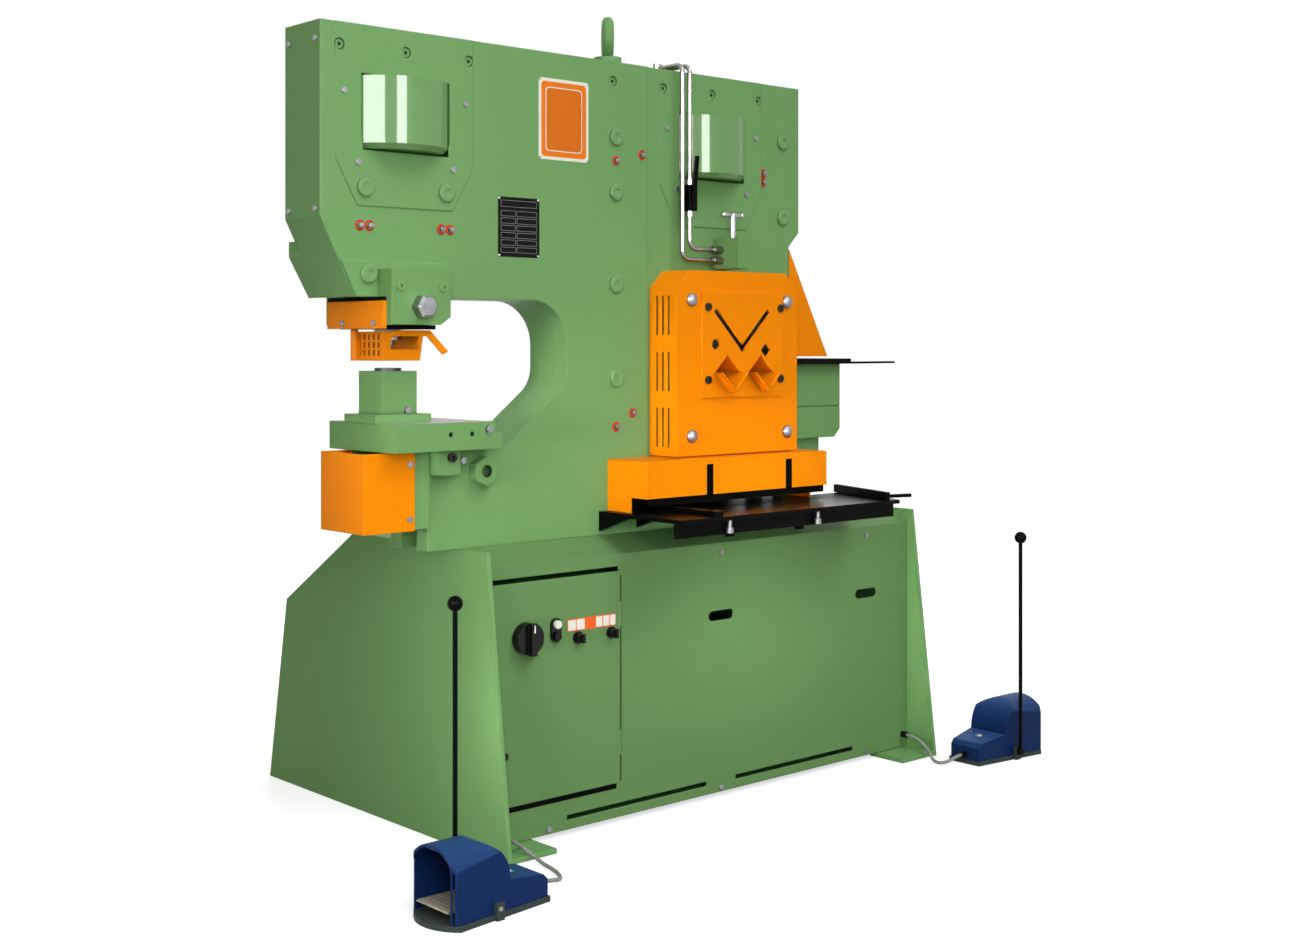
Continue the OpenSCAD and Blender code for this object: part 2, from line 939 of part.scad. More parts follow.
// Floor pan on four foot plates, with the anchor holes and an adjusting slot in each foot
module base_floor() {
    half_x = inner_x;
    half_y = base_depth / 2 - foot_inset;
    color(green) difference() {
        union() {
            for (sx = [-1, 1], sy = [-1, 1])
                block([min(sx * half_x, sx * (half_x - foot_w)),
                       min(sy * half_y, sy * (half_y - foot_d)), 0],
                      [max(sx * half_x, sx * (half_x - foot_w)),
                       max(sy * half_y, sy * (half_y - foot_d)), foot_t]);
            block([-half_x, panel_y + panel_t + floor_rim, foot_t],
                  [half_x, half_y - foot_d + floor_rim, foot_t + floor_t]);
        }
        for (sx = [-1, 1], sy = [-1, 1]) {
            rod_z(sx * anchor_x, sy * anchor_y, -over, foot_t + over, anchor_r);
            translate([sx * anchor_x, sy * (anchor_y + foot_slot_set), 0])
                slab_xy(-over, foot_t + over) obround(foot_slot_half, foot_slot_r);
        }
    }
}

// Deck plate that carries the frame
module deck_plate() {
    color(green) block([-inner_x, front_y, base_top_z - deck_t], [inner_x, side_rear_top_y, base_top_z]);
}

// Front panel and apron, one folded sheet with the door opening, hand holes and vents
module front_panel() {
    apron_rise = base_top_z - apron_low_z;
    apron_run = front_y - panel_y;
    color(green) difference() {
        slab_yz(-inner_x, inner_x) polygon([
            [panel_y, panel_low_z], [panel_y, apron_low_z], [front_y, apron_low_z + apron_rise],
            [front_y, apron_low_z + apron_rise - panel_t],
            [panel_y + panel_t, apron_low_z - panel_t + panel_t * apron_rise / apron_run],
            [panel_y + panel_t, panel_low_z]]);
        block([door_x0 + opening_lap, panel_y - over, door_z0 + opening_lap],
              [door_x1 - opening_lap, panel_y + panel_t + over, door_z1 - opening_lap]);
        slab_xz(panel_y - over, panel_y + panel_t + over) {
            for (x = [0, hand_hole_x]) translate([x, hand_hole_z]) obround(hand_hole_half, hand_hole_r);
            for (x = [-vent_gap / 2 - vent_len, vent_gap / 2]) translate([x, vent_z])
                square([vent_len, vent_h]);
            translate([door_x0, door_z1 + slot_gap]) square([door_w, slot_h]);
            for (r = routes) translate([r[0][0], r[0][2]]) circle(gland_bore_r);
        }
    }
}

// Rear panel, folded along the back of the side plates, with rows of vents
module rear_panel() {
    y0 = side_rear_top_y;
    y1 = side_rear_mid_y - rear_inset;
    z1 = side_rear_mid_z - rear_inset / 2;
    lean = (base_depth / 2 - side_rear_mid_y) / side_rear_mid_z;
    y2 = y1 + (z1 - panel_low_z) * lean;
    color(green) difference() {
        slab_yz(-inner_x, inner_x) polygon([
            [y0, base_top_z], [y1, z1], [y2, panel_low_z], [y2 - panel_t, panel_low_z],
            [y1 - panel_t, z1 - panel_t], [y0, base_top_z - deck_t]]);
        for (i = [0:rear_vent_rows - 1], s = [-1, 1])
            translate([s * inner_x / 2 - rear_vent_w / 2, y1 - panel_t - over,
                       rear_vent_z + i * rear_vent_pitch])
                cube([rear_vent_w, y2 - y1 + panel_t + 2 * over, rear_vent_h]);
    }
}

// Cabinet behind the door, open to the front
module control_box() {
    lo = [door_x0, panel_y + panel_t, door_z0];
    hi = [door_x1, panel_y + panel_t + box_d, door_z1];
    t = [box_t, box_t, box_t];
    color(dark_green) difference() {
        block(lo, hi);
        block(lo + [box_t, -over, box_t], hi - t);
    }
}

// Mounting plate with a row of contactors on a rail and two wiring ducts
module control_gear() {
    back_y = panel_y + panel_t + box_d - box_t;
    plate_y = back_y - gear_standoff;
    x0 = door_x0 + gear_plate_inset;
    x1 = door_x1 - gear_plate_inset;
    z0 = door_z0 + gear_plate_inset;
    z1 = door_z1 - gear_plate_inset;
    mid = (z0 + z1) / 2;
    color(grey) {
        block([x0, plate_y - gear_plate_t, z0], [x1, plate_y, z1]);
        for (x = [x0 + gear_standoff, x1 - gear_standoff], z = [z0 + gear_standoff, z1 - gear_standoff])
            rod_y(x, plate_y, back_y, z, gear_standoff / 2);
        block([x0, plate_y - gear_plate_t - rail_t, mid - rail_h / 2],
              [x1, plate_y - gear_plate_t, mid + rail_h / 2]);
        for (s = [-1, 1]) block([x0, plate_y - gear_plate_t - duct_d, mid + s * duct_set - duct_w / 2],
                                [x1, plate_y - gear_plate_t, mid + s * duct_set + duct_w / 2]);
        for (i = [0:contactor_count - 1])
            translate([x0 + contactor_set + i * contactor_pitch,
                       plate_y - gear_plate_t - rail_t - contactor_d, mid - contactor_h / 2])
                cube([contactor_w, contactor_d, contactor_h]);
    }
}

// Oil tank on rails, with the finned pump motor and the filler on its lid
module power_unit() {
    floor_z = foot_t + floor_t;
    motor_low_z = tank_low_z + tank_h;
    color(dark_grey) {
        block([tank_x0, tank_y - tank_half_d, tank_low_z], [tank_x1, tank_y + tank_half_d, motor_low_z]);
        for (x = [tank_x0 + tank_rail, tank_x1 - 2 * tank_rail])
            block([x, tank_y - tank_half_d, floor_z], [x + tank_rail, tank_y + tank_half_d, tank_low_z]);
        rod_z(motor_x, tank_y, motor_low_z, motor_low_z + motor_flange_t, motor_flange_r);
        rod_z(motor_x, tank_y, motor_low_z + motor_flange_t, motor_low_z + motor_h,
              motor_r - motor_fin_d);
        for (i = [1:motor_fins]) {
            fin_z = motor_low_z + motor_flange_t + i * (motor_h - motor_flange_t) / (motor_fins + 1);
            rod_z(motor_x, tank_y, fin_z - motor_fin_t / 2, fin_z + motor_fin_t / 2, motor_r);
        }
        rod_z(motor_x, tank_y, motor_low_z + motor_h, motor_low_z + motor_h + cowl_h, motor_r);
        rod_z(filler_x, tank_y, motor_low_z, motor_low_z + filler_h, filler_r);
    }
}

// Cuts that both frame plates share
module plate_cuts() {
    mid_slab(frame_t / 2 + over) {
        window(punch_x);
        window(shear_x);
        translate([section_x0, section_z0]) square([section_x1 - section_x0, section_z1 - section_z0]);
        translate([mouth_x0, shear_table_z - blade_h]) square([mouth_x1 - mouth_x0, mouth_h + blade_h]);
    }
    for (x = [punch_x, shear_x])
        mid_rod(x, window_low_z, window_low_z + window_h, barrel_r + barrel_gap / 2);
}

// Front plate: step at the shear side, raised fields round the cylinders, pad behind the ram guide
module front_frame_plate() {
    color(green) difference() {
        union() {
            slab_xz(front_y, gap_front_y) plate_outline();
            slab_xz(front_y - field_d, front_y) field(punch_x);
            slab_xz(front_y - pad_d, front_y) pad();
        }
        difference() {
            block([step_x, front_y - over, base_top_z - over],
                  [frame_right_x + over, shear_front_y, frame_top_z + over]);
            slab_xz(shear_front_y - field_d, shear_front_y + over) field(shear_x);
        }
        plate_cuts();
        for (p = top_screws) rod_y(p[0], p[1] - over, p[1] + counterbore_d, top_screw_z, counterbore_r);
    }
}
// Top screws by station, each with the face that it is sunk into
top_screws = concat(
    [for (i = [-1:1]) [punch_x + i * top_screw_pitch, front_y - field_d]],
    [for (i = [-2:1]) [shear_x + i * top_screw_pitch, i < -1 ? front_y : shear_front_y - field_d]]);

// Rear plate, plain apart from the shared openings and a pad behind the ram guide
module rear_frame_plate() {
    color(green) difference() {
        union() {
            slab_xz(gap_rear_y, rear_y) plate_outline();
            slab_xz(rear_y, rear_y + pad_d) pad();
        }
        plate_cuts();
    }
}

// Liner that closes the throat between the plates
module throat_liner() {
    color(green) mid_slab(gap_half)
        polygon(concat(throat_line(0), turned(throat_line(liner_t))));
}

// Left end cover, top and right covers between the plates, terminal box behind the head, slug bracket
module frame_covers() {
    bracket_half = slug_half_d - guard_t;
    color(green) {
        mid_slab(frame_t / 2) polygon([
            [head_x - cover_t, frame_top_z], [head_x, frame_top_z], [head_x, head_slope_z],
            [head_low_x, head_low_z], [head_low_x - cover_t, head_low_z],
            [head_x - cover_t, head_slope_z]]);
        mid_block(head_x, frame_right_x, gap_half, frame_top_z - cover_t, frame_top_z);
        mid_block(frame_right_x - cover_t, frame_right_x, gap_half, right_step_z, frame_top_z - cover_t);
        difference() {
            slab_xz(rear_y, rear_y + terminal_d) polygon([
                [terminal_x, head_low_z + terminal_h], [terminal_x, head_low_z + terminal_rise],
                [head_low_x, head_low_z], [terminal_x + terminal_w, head_low_z],
                [terminal_x + terminal_w, head_low_z + terminal_h]]);
            slab_xz(rear_y - over, rear_y + pad_d) pad();
        }
        difference() {
            mid_block(bracket_left_x, jaw_x, bracket_half, slug_low_z + guard_t, slug_top_z);
            mid_block(bracket_left_x - over, jaw_x - bracket_t, bracket_half - bracket_t,
                      slug_low_z - over, slug_top_z + over);
        }
    }
}

// Lifting eye: collar on the frame's top edge, ring turned off the frame's line as it was screwed home
module lifting_eye() {
    ring_z = frame_top_z + eye_collar_h + eye_ring_r + eye_bar_r - eye_sink;
    color(dark_green) {
        mid_rod(eye_x, frame_top_z, frame_top_z + eye_collar_h, eye_collar_r);
        translate([eye_x, frame_y, ring_z]) rotate([90, 0, eye_turn]) rotate_extrude()
            translate([eye_ring_r, 0]) circle(eye_bar_r);
    }
}

// Tie bolt heads on the front plate, each on the face that carries it, and on the rear plate
module tie_head(x, z, y, s) {
    translate([x, y, z]) rotate([s * 90, 0, 0]) difference() {
        union() {
            cylinder(r = tie_r, h = tie_h - tie_bevel);
            translate([0, 0, tie_h - tie_bevel])
                cylinder(r1 = tie_r, r2 = tie_r - tie_bevel, h = tie_bevel);
        }
        translate([0, 0, tie_h - tie_dimple_d]) cylinder(r = tie_dimple_r, h = tie_dimple_d + over);
    }
}
tie_places = concat(
    [for (s = [-1, 1]) [punch_x + s * tie_side_x, tie_side_z, front_y - field_d]],
    [[punch_x - tie_pad_x, tie_pad_z, front_y - pad_d]],
    [for (z = tie_column_z) [tie_column_x, z, front_y]],
    [for (z = tie_end_z) [tie_end_x, z, shear_front_y]]);
module tie_bolts() {
    color(green) for (p = tie_places) {
        tie_head(p[0], p[1], p[2], 1);
        tie_head(p[0], p[1], p[1] == tie_pad_z ? rear_y + pad_d : rear_y, -1);
    }
}

// Black socket screws: sunk in the frame's top edge, on the ram guide and on the section plate
module socket_head(x, y, z, h) {
    difference() {
        rod_y(x, y - h, y, z, socket_r);
        translate([x, y - h / 2, z]) rotate([90, 0, 0]) cylinder(r = socket_r / 2, h = h, $fn = hex_sides);
    }
}
module socket_screws() {
    color(black) {
        for (p = top_screws) socket_head(p[0], p[1] + counterbore_d, top_screw_z, socket_h);
        for (s = [-1, 1]) socket_head(punch_x + s * (guide_half_w - guide_screw_inset),
                                      frame_y - guide_half_d,
                                      guide_top_z - guide_screw_drop, socket_h / 2);
        for (x = [plate_x0 + plate_screw_inset[0], plate_x1 - plate_screw_inset[1]],
             z = [plate_z0 + plate_screw_rise, plate_z1 - plate_screw_drop])
            socket_head(x, guard_front_y - section_plate_t, z, socket_h / 2);
        socket_head(clamp_x + clamp_screw_x, front_y - clamp_d, jaw_z - clamp_screw_drop, socket_h);
    }
}

// Bright screws, dome nuts of the section guard, grease nipples
module small_screw(x, y, z) {
    rod_y(x, y - screw_h, y, z, screw_r);
}
module dome_nut(x, y, z) {
    cap_r = (dome_r * dome_r + dome_cap * dome_cap) / (2 * dome_cap);
    rod_y(x, y - dome_h, y, z, dome_r);
    intersection() {
        translate([x, y - dome_h + cap_r - dome_cap, z]) sphere(cap_r);
        block([x - cap_r, y - dome_h - cap_r, z - cap_r], [x + cap_r, y - dome_h, z + cap_r]);
    }
}
module nipple(x, y, z) {
    rod_y(x, y - nipple_h, y, z, nipple_r);
    rod_y(x, y - nipple_h - nipple_tip_h, y - nipple_h, z, nipple_tip_r);
}
nipple_mid_z = (tie_column_z[0] + tie_column_z[1]) / 2;
nipple_end_z = (tie_end_z[0] + tie_end_z[1]) / 2;
nipple_pair = [-nipple_half_pair, nipple_half_pair];
nipple_places = concat(
    [for (s = [-1, 1], d = nipple_pair) [punch_x + s * tie_side_x + d, front_y,
                                         tie_side_z - nipple_drop]],
    [[tie_column_x, front_y, nipple_mid_z + nipple_rise[0]],
     [step_x - nipple_step_inset, front_y, nipple_mid_z + nipple_rise[1]]],
    [for (d = nipple_pair) [tie_end_x - nipple_end_set, shear_front_y, nipple_end_z + d]],
    [[tie_column_x + nipple_foot_set, front_y, tie_column_z[3] - nipple_foot_drop[0]],
     [tie_column_x, front_y, tie_column_z[3] - nipple_foot_drop[1]]]);
module cover_screws() {
    panel_screw_z = [panel_low_z + panel_screw_end[0], apron_low_z - panel_screw_end[1]];
    color(steel) {
        for (s = [-1, 1], f = [[punch_x, front_y - field_d], [shear_x, shear_front_y - field_d]]) {
            small_screw(f[0] + s * (field_half_w - field_screw_inset), f[1],
                        window_low_z + window_h * 3 / 4);
            small_screw(f[0] + s * field_foot_half_w, f[1], window_low_z - window_cut);
        }
        for (x = dome_x, z = dome_z) dome_nut(x, guard_front_y, z);
        for (p = nipple_places) nipple(p[0], p[1], p[2]);
        for (x = [0, panel_screw_x], z = panel_screw_z) small_screw(x, panel_y, z);
        small_screw(-panel_screw_x, panel_y, panel_screw_z[0]);
        for (z = [slug_low_z + slug_screw_end, slug_top_z - slug_screw_end])
            small_screw(slug_right_x - slug_screw_inset, frame_y - slug_half_d, z);
        for (s = [-1, 1], z = [head_slope_z + cover_screw_inset, frame_top_z - cover_screw_drop])
            rod_x(head_x - cover_t - screw_h, head_x - cover_t,
                  frame_y + s * (frame_t / 2 - cover_screw_inset),
                  z, screw_r);
        for (s = ram_cover_screw_shares)
            rod_x(ram_cover_left_x - screw_h, ram_cover_left_x, frame_y + s * ram_cover_half_d,
                  ram_cover_low_z + ram_cover_screw_rise, screw_r);
        for (d = stop_bolt_set) {
            neck_z = shear_table_low_z - stop_bolt_h;
            bolt_y = shear_table_front_y + lip_back / 2;
            rod_z(shear_x + d, bolt_y, neck_z, shear_table_low_z, stop_bolt_r);
            rod_z(shear_x + d, bolt_y, neck_z - stop_head_h, neck_z, stop_head_r);
        }
        rod_y(clamp_x + clamp_w + clamp_pin_set, front_y - clamp_pin_d, front_y, jaw_z - clamp_pin_drop,
              clamp_pin_r);
        rod_y(table_right_x - table_step_w - stop_screw_set, frame_y - table_half_d - stop_screw_h,
              frame_y - table_half_d, table_top_z - stop_screw_drop, stop_screw_r);
        rod_y(punch_x + set_screw_x, frame_y - block_half - set_screw_h, frame_y - block_half,
              table_top_z + flange_t + set_screw_rise, set_screw_r);
    }
}

// Short hydraulic cylinder: barrel in the windows, flat heads between the plates, rod bore below
module cylinder_body(x) {
    difference() {
        union() {
            mid_rod(x, barrel_low_z + barrel_bevel, barrel_top_z, barrel_r);
            translate([x, frame_y, barrel_low_z])
                cylinder(r1 = barrel_r - barrel_bevel, r2 = barrel_r, h = barrel_bevel);
            mid_block(x - cylinder_head_half_w, x + cylinder_head_half_w, slide_half_d,
                      barrel_low_z - cylinder_head_h, barrel_top_z + cylinder_head_h);
        }
        mid_rod(x, barrel_low_z - cylinder_head_h - over, barrel_top_z, rod_r + run_gap);
    }
}
module punch_cylinder() {
    color(green) cylinder_body(punch_x);
}
module shear_cylinder() {
    color(green) cylinder_body(shear_x);
}

// Ram guide: bored block under the head with a cheek up each side of the frame
module guide_outline() {
    polygon([[guide_left_x, guide_low_z], [guide_right_x - guide_cut_w, guide_low_z],
             [guide_right_x, guide_low_z + guide_cut_h], [guide_right_x, guide_top_z],
             [guide_left_x, guide_top_z]]);
}
module ram_guide() {
    color(green) difference() {
        mid_slab(guide_half_d) guide_outline();
        block([guide_left_x - over, front_y - pad_d, head_low_z],
              [guide_right_x + over, rear_y + pad_d, guide_top_z + over]);
        mid_rod(punch_x, guide_low_z - over, guide_top_z + over, ram_r + run_gap);
        rod_y(punch_x, frame_y - guide_half_d - over, frame_y - guide_half_d + knob_shaft_d, knob_z,
              knob_shaft_r + run_gap);
    }
}

// Ram cover, a folded sheet on the left of the guide
module ram_cover() {
    color(orange) difference() {
        mid_block(ram_cover_left_x, guide_left_x, ram_cover_half_d, ram_cover_low_z, ram_cover_top_z);
        mid_block(ram_cover_left_x + guard_t, guide_left_x + over, ram_cover_half_d - guard_t,
                  ram_cover_low_z - over, ram_cover_top_z + over);
    }
}

// Stripper plate under the guide, bored for the union nut and for the guard's pivot
module stripper_plate() {
    color(black) difference() {
        mid_block(punch_x - stripper_half_w, punch_x + stripper_half_w, stripper_half_d, stripper_low_z,
                  guide_low_z);
        mid_rod(punch_x, stripper_low_z - over, guide_low_z + over, stripper_bore_r);
        rod_z(pivot_x, pivot_y, stripper_low_z - over, guide_low_z + over, pivot_r + run_gap);
    }
}

// Die table: thick plate on the lower jaw with a lower step and a stop at its right end
module die_table() {
    color(green) difference() {
        union() {
            mid_block(table_left_x, table_right_x - table_step_w, table_half_d, jaw_z, table_top_z);
            mid_block(table_right_x - table_step_w, table_right_x, table_half_d, jaw_z,
                      table_top_z - table_step_h);
        }
        mid_rod(punch_x, jaw_z - over, table_top_z + over, slug_r);
        for (d = table_hole_set)
            rod_y(punch_x + d, frame_y - table_half_d - over, frame_y - table_half_d + table_hole_d,
                  table_top_z - table_hole_drop, table_hole_r);
    }
}

// Die block with its flange, counterbored for the die
module die_block() {
    top = die_top_z - die_stand;
    color(green) difference() {
        union() {
            mid_block(punch_x - block_half, punch_x + block_half, block_half, table_top_z + flange_t,
                      top);
            mid_block(punch_x - flange_half_w, punch_x + flange_half_w, flange_half_d, table_top_z,
                      table_top_z + flange_t);
        }
        mid_rod(punch_x, table_top_z - over, top + over, slug_r);
        mid_rod(punch_x, die_top_z - die_h, top + over, die_r + run_gap);
    }
}
module punch_die() {
    color(black) difference() {
        mid_rod(punch_x, die_top_z - die_h, die_top_z, die_r);
        mid_rod(punch_x, die_top_z - die_h - over, die_top_z + over, punch_r + punch_fit);
    }
}

// Slug cover, a folded box that slides over its bracket
module slug_cover() {
    color(orange) difference() {
        mid_block(slug_left_x, slug_right_x, slug_half_d, slug_low_z, slug_top_z);
        mid_block(slug_left_x + guard_t, slug_right_x + over, slug_half_d - guard_t,
                  slug_low_z + guard_t, slug_top_z + over);
    }
}

// Table clamp: block, hexagonal clamping nut and the stop on the table's step
module table_clamp() {
    color(green) {
        block([clamp_x, front_y - clamp_d, jaw_z - clamp_h], [clamp_x + clamp_w, front_y, jaw_z]);
        difference() {
            translate([clamp_nut_x, front_y, clamp_nut_z]) rotate([90, 0, 0]) rotate(90)
                cylinder(r = clamp_nut_r, h = clamp_nut_d, $fn = hex_sides);
            rod_y(clamp_nut_x, front_y - clamp_nut_d - over, front_y - clamp_nut_d / 2, clamp_nut_z,
                  clamp_socket_r);
        }
        block([table_right_x - table_step_w, frame_y - table_half_d, table_top_z - table_step_h],
              [table_right_x - table_step_w + stop_w, frame_y - table_half_d + stop_d, table_top_z]);
    }
}

// Apertures of the section shear: angle, round, square and two bars
module apertures(bar_opening) {
    translate([vee_x, vee_z]) {
        for (s = [-1, 1]) rotate(90 - s * 45)
            translate([0, -vee_w / 2]) square([vee_reach * sqrt(2), vee_w]);
        circle(vee_root_r);
    }
    translate([shear_x - round_set, section_guard_top_z - round_drop]) circle(round_r);
    translate([shear_x + square_set, section_guard_top_z - square_drop]) diamond(square_side);
    for (x = bar_x) translate([x, bar_z]) diamond(bar_opening);
}

// Fixed blades: section block in the front plate's window, flat blade in the mouth
module shear_blades() {
    color(steel) {
        difference() {
            block([section_x0, shear_front_y, section_z0], [section_x1, gap_front_y, section_z1]);
            slab_xz(shear_front_y - over, gap_front_y + over) apertures(bar_side);
        }
        block([mouth_x0, shear_front_y, shear_table_z - blade_h], [mouth_x1, gap_front_y, shear_table_z]);
    }
}

// Section guard: folded box with chamfered shoulders, louvres on its left side
module guard_outline(inset) {
    x0 = guard_x0 + inset;
    x1 = guard_x1 - inset;
    top = section_guard_top_z - inset;
    polygon([[x0, guard_low_z - (inset > 0 ? over : 0)], [x0, top - guard_chamfer],
             [x0 + guard_chamfer, top],
             [x1 - guard_chamfer, top], [x1, top - guard_chamfer],
             [x1, guard_low_z - (inset > 0 ? over : 0)]]);
}
module section_guard() {
    color(orange) difference() {
        slab_xz(guard_front_y, shear_front_y) guard_outline(0);
        slab_xz(guard_front_y + guard_t, shear_front_y + over) guard_outline(guard_t);
        for (i = [0:louvre_cols - 1], j = [0:louvre_rows - 1])
            block([guard_x0 - over, louvre_y0 - i * louvre_pitch_y - louvre_w / 2,
                   louvre_z0 + j * louvre_pitch_z],
                  [guard_x0 + guard_t + over, louvre_y0 - i * louvre_pitch_y + louvre_w / 2,
                   louvre_z0 + j * louvre_pitch_z + louvre_h]);
        block([plate_x0 + sight_inset, guard_front_y - over, plate_z0 + sight_inset_z],
              [plate_x1 - sight_inset, guard_front_y + guard_t + over, plate_z1 - sight_inset_z]);
    }
}

// Section plate with its apertures, tubes back to the blade and troughs out from the two bar openings
module bar_tubes() {
    for (x = bar_x) translate([x, bar_z]) difference() {
        diamond(bar_tube_side + 2 * trough_t);
        diamond(bar_tube_side);
    }
}
module section_plate() {
    plate_y = guard_front_y - section_plate_t;
    color(orange) {
        difference() {
            block([plate_x0, plate_y, plate_z0], [plate_x1, guard_front_y, plate_z1]);
            slab_xz(plate_y - over, guard_front_y + over) apertures(bar_tube_side);
        }
        slab_xz(guard_front_y, shear_front_y) bar_tubes();
        intersection() {
            slab_xz(plate_y - trough_d, plate_y) bar_tubes();
            block([plate_x0, plate_y - trough_d - over, plate_z0], [plate_x1, plate_y + over, bar_z]);
        }
    }
}

// Flat-shear guard: folded hood with two sight slots and a cheek down to the table on each side
module flat_shear_guard() {
    color(orange) difference() {
        union() {
            block([flat_x0, flat_front_y, flat_low_z], [flat_x1, front_y, flat_top_z]);
            for (x = [flat_x0, flat_x1 - guard_t])
                block([x, front_y - flat_cheek_d, shear_table_z], [x + guard_t, front_y, flat_top_z]);
        }
        block([flat_x0 + guard_t, flat_front_y + guard_t, flat_low_z - over],
              [flat_x1 - guard_t, front_y + over, flat_top_z - guard_t]);
        for (d = flat_slot_set)
            block([shear_x + d, flat_front_y - over, flat_low_z - over],
                  [shear_x + d + flat_slot_w, flat_front_y + guard_t + over, flat_low_z + flat_slot_h]);
    }
}

// Shear table: plate with ribs to the frame, lip, legs on the apron, fences, flap behind the shear's exit
function apron_z(y) = apron_low_z + (base_top_z - apron_low_z) * (y - panel_y) / (front_y - panel_y);
module table_outline() {
    wing_x = shear_table_x1 + wing_lean;
    polygon([[shear_table_x0, front_y], [shear_table_x0, shear_table_front_y],
             [shear_table_x1, shear_table_front_y], [wing_x, front_y - wing_back],
             [flat_x1, front_y - wing_back], [flat_x1, front_y]]);
}
module rear_flap() {
    top = shear_table_z + mouth_h + flap_lap;
    y1 = rear_y + flap_d;
    low = base_top_z + flap_gap;
    slab_yz(mouth_x0 - flap_lap, mouth_x1 + flap_lap) polygon([
        [rear_y, top], [rear_y + flap_t, top], [y1, top - flap_d], [y1, low], [y1 - flap_t, low],
        [y1 - flap_t, top - flap_d - flap_t], [rear_y, top - flap_edge]]);
}
module shear_table() {
    x0 = shear_table_x0;
    x1 = shear_table_x1;
    mid_y = shear_table_front_y;
    low = shear_table_low_z;
    color(black) {
        slab_xy(low, shear_table_z) table_outline();
        for (x = [x0, x0 + table_rib_w - rib_t]) slab_yz(x, x + rib_t)
            polygon([[front_y, low], [front_y, low - rib_h], [front_y - rib_d, low]]);
        block([x0, mid_y + lip_back, low - lip_h], [x1, mid_y + lip_back + lip_t, low]);
        for (x = leg_x) {
            foot_z = apron_z(leg_y + leg_pad_r);
            rod_z(x, leg_y, foot_z + leg_pad_h, low, leg_r);
            rod_z(x, leg_y, foot_z, foot_z + leg_pad_h, leg_pad_r);
        }
        block([x0 + fence_set, mid_y + fence_in, shear_table_z],
              [x0 + fence_set + fence_w, mid_y + fence_in + fence_len, shear_table_z + fence_t]);
        translate([flat_x1 + side_fence_set, mid_y + fence_in, shear_table_z])
            rotate(-side_fence_turn) {
                cube([side_fence_t, side_fence_len, side_fence_h]);
                rod_x(side_fence_t, side_fence_t + side_rod_len, side_rod_r, side_fence_h / 2, side_rod_r);
            }
        rear_flap();
    }
}

// Hold-down block on the frame, tapped for its screw
module hold_down_block() {
    color(green) difference() {
        block([hold_x0, shear_front_y - hold_d, hold_low_z],
              [hold_x1, shear_front_y, hold_low_z + hold_h]);
        rod_z(hold_screw_x, hold_screw_y, hold_low_z + hold_h - hold_screw_in, hold_low_z + hold_h + over,
              hold_screw_r + run_gap);
    }
}

// Pipes: forward from the frame's top, down past the cylinder and across to the hold-down block
module bend(plane, turn) {
    rotate(plane) rotate(turn) rotate_extrude(angle = 90) translate([pipe_bend_r, 0]) circle(pipe_r);
}
module pipe(i) {
    x = pipe_x[i];
    b = pipe_bend_r;
    low = pipe_end_z[i];
    cap_z = valve_half_h + valve_cap_h;
    fitting_x = hold_x0 - pipe_nut_len;
    mid_rod(x, frame_top_z, frame_top_z + pipe_banjo_h, pipe_nut_r);
    rod_y(x, pipe_y + b, frame_y, pipe_run_z, pipe_r);
    translate([x, pipe_y + b, pipe_run_z - b]) bend([90, 0, 90], 90);
    if (i == 0) rod_z(x, pipe_y, low + b, pipe_run_z - b, pipe_r);
    else {
        rod_z(x, pipe_y, valve_z + cap_z, pipe_run_z - b, pipe_r);
        rod_z(x, pipe_y, low + b, valve_z - cap_z, pipe_r);
        rod_z(x, pipe_y, valve_z + valve_half_h, valve_z + cap_z, pipe_nut_r);
        rod_z(x, pipe_y, valve_z - cap_z, valve_z - valve_half_h, pipe_nut_r);
    }
    translate([x + b, pipe_y, low + b]) bend([90, 0, 0], 180);
    rod_x(x + b, fitting_x, pipe_y, low, pipe_r);
    rod_x(fitting_x, hold_x0, pipe_y, low, pipe_nut_r);
}
module hydraulic_pipes() {
    color(steel) for (i = [0, 1]) pipe(i);
}

// Ball valve body in the second pipe, bored for the lever's stem
module ball_valve() {
    x = pipe_x[1];
    color(black) difference() {
        block([x - valve_half_w, pipe_y - valve_half_w, valve_z - valve_half_h],
              [x + valve_half_w, pipe_y + valve_half_w, valve_z + valve_half_h]);
        rod_y(x, pipe_y - valve_half_w - over, pipe_y - valve_half_w + valve_stem_d, valve_z,
              valve_stem_r + run_gap);
    }
}

// Notcher: die block on the frame's right edge, foot bracket, table with gauge bar, sheet guard
module notch_die_cut(low) {
    mid_block(notch_punch_x0 - notch_gap, arm_x1 + notch_gap, notch_punch_half_d + notch_gap, low,
              notch_z + over);
}
module notcher_block() {
    top = notch_z - notch_table_t;
    low = top - notch_block_h;
    x0 = frame_low_right_x;
    x1 = x0 + notch_w;
    color(green) difference() {
        union() {
            mid_slab(notch_half_d)
                polygon([[x0, low], [x1 - notch_cut, low], [x1, low + notch_cut], [x1, top], [x0, top]]);
            mid_block(x0, x0 + notch_foot_w, notch_foot_half_d, shear_table_z + notch_foot_rise, low);
        }
        notch_die_cut(top - notch_die_d);
        block([x0 - over, frame_y - notch_half_d - over, top - notch_seam_h - notch_seam],
              [x1 + over, frame_y - notch_half_d + notch_seam, top - notch_seam_h]);
    }
}
module notcher_table() {
    low = notch_z - notch_table_t;
    front = frame_y - notch_table_half_d;
    color(black) difference() {
        union() {
            block([notch_table_x0, front, low], [notch_table_x1, frame_y + notch_table_half_d, notch_z]);
            block([notch_table_x1, front, low], [notch_table_x1 + notch_bar_len, front + notch_bar_w,
                                                 low + notch_bar_t]);
        }
        notch_die_cut(low - over);
    }
}
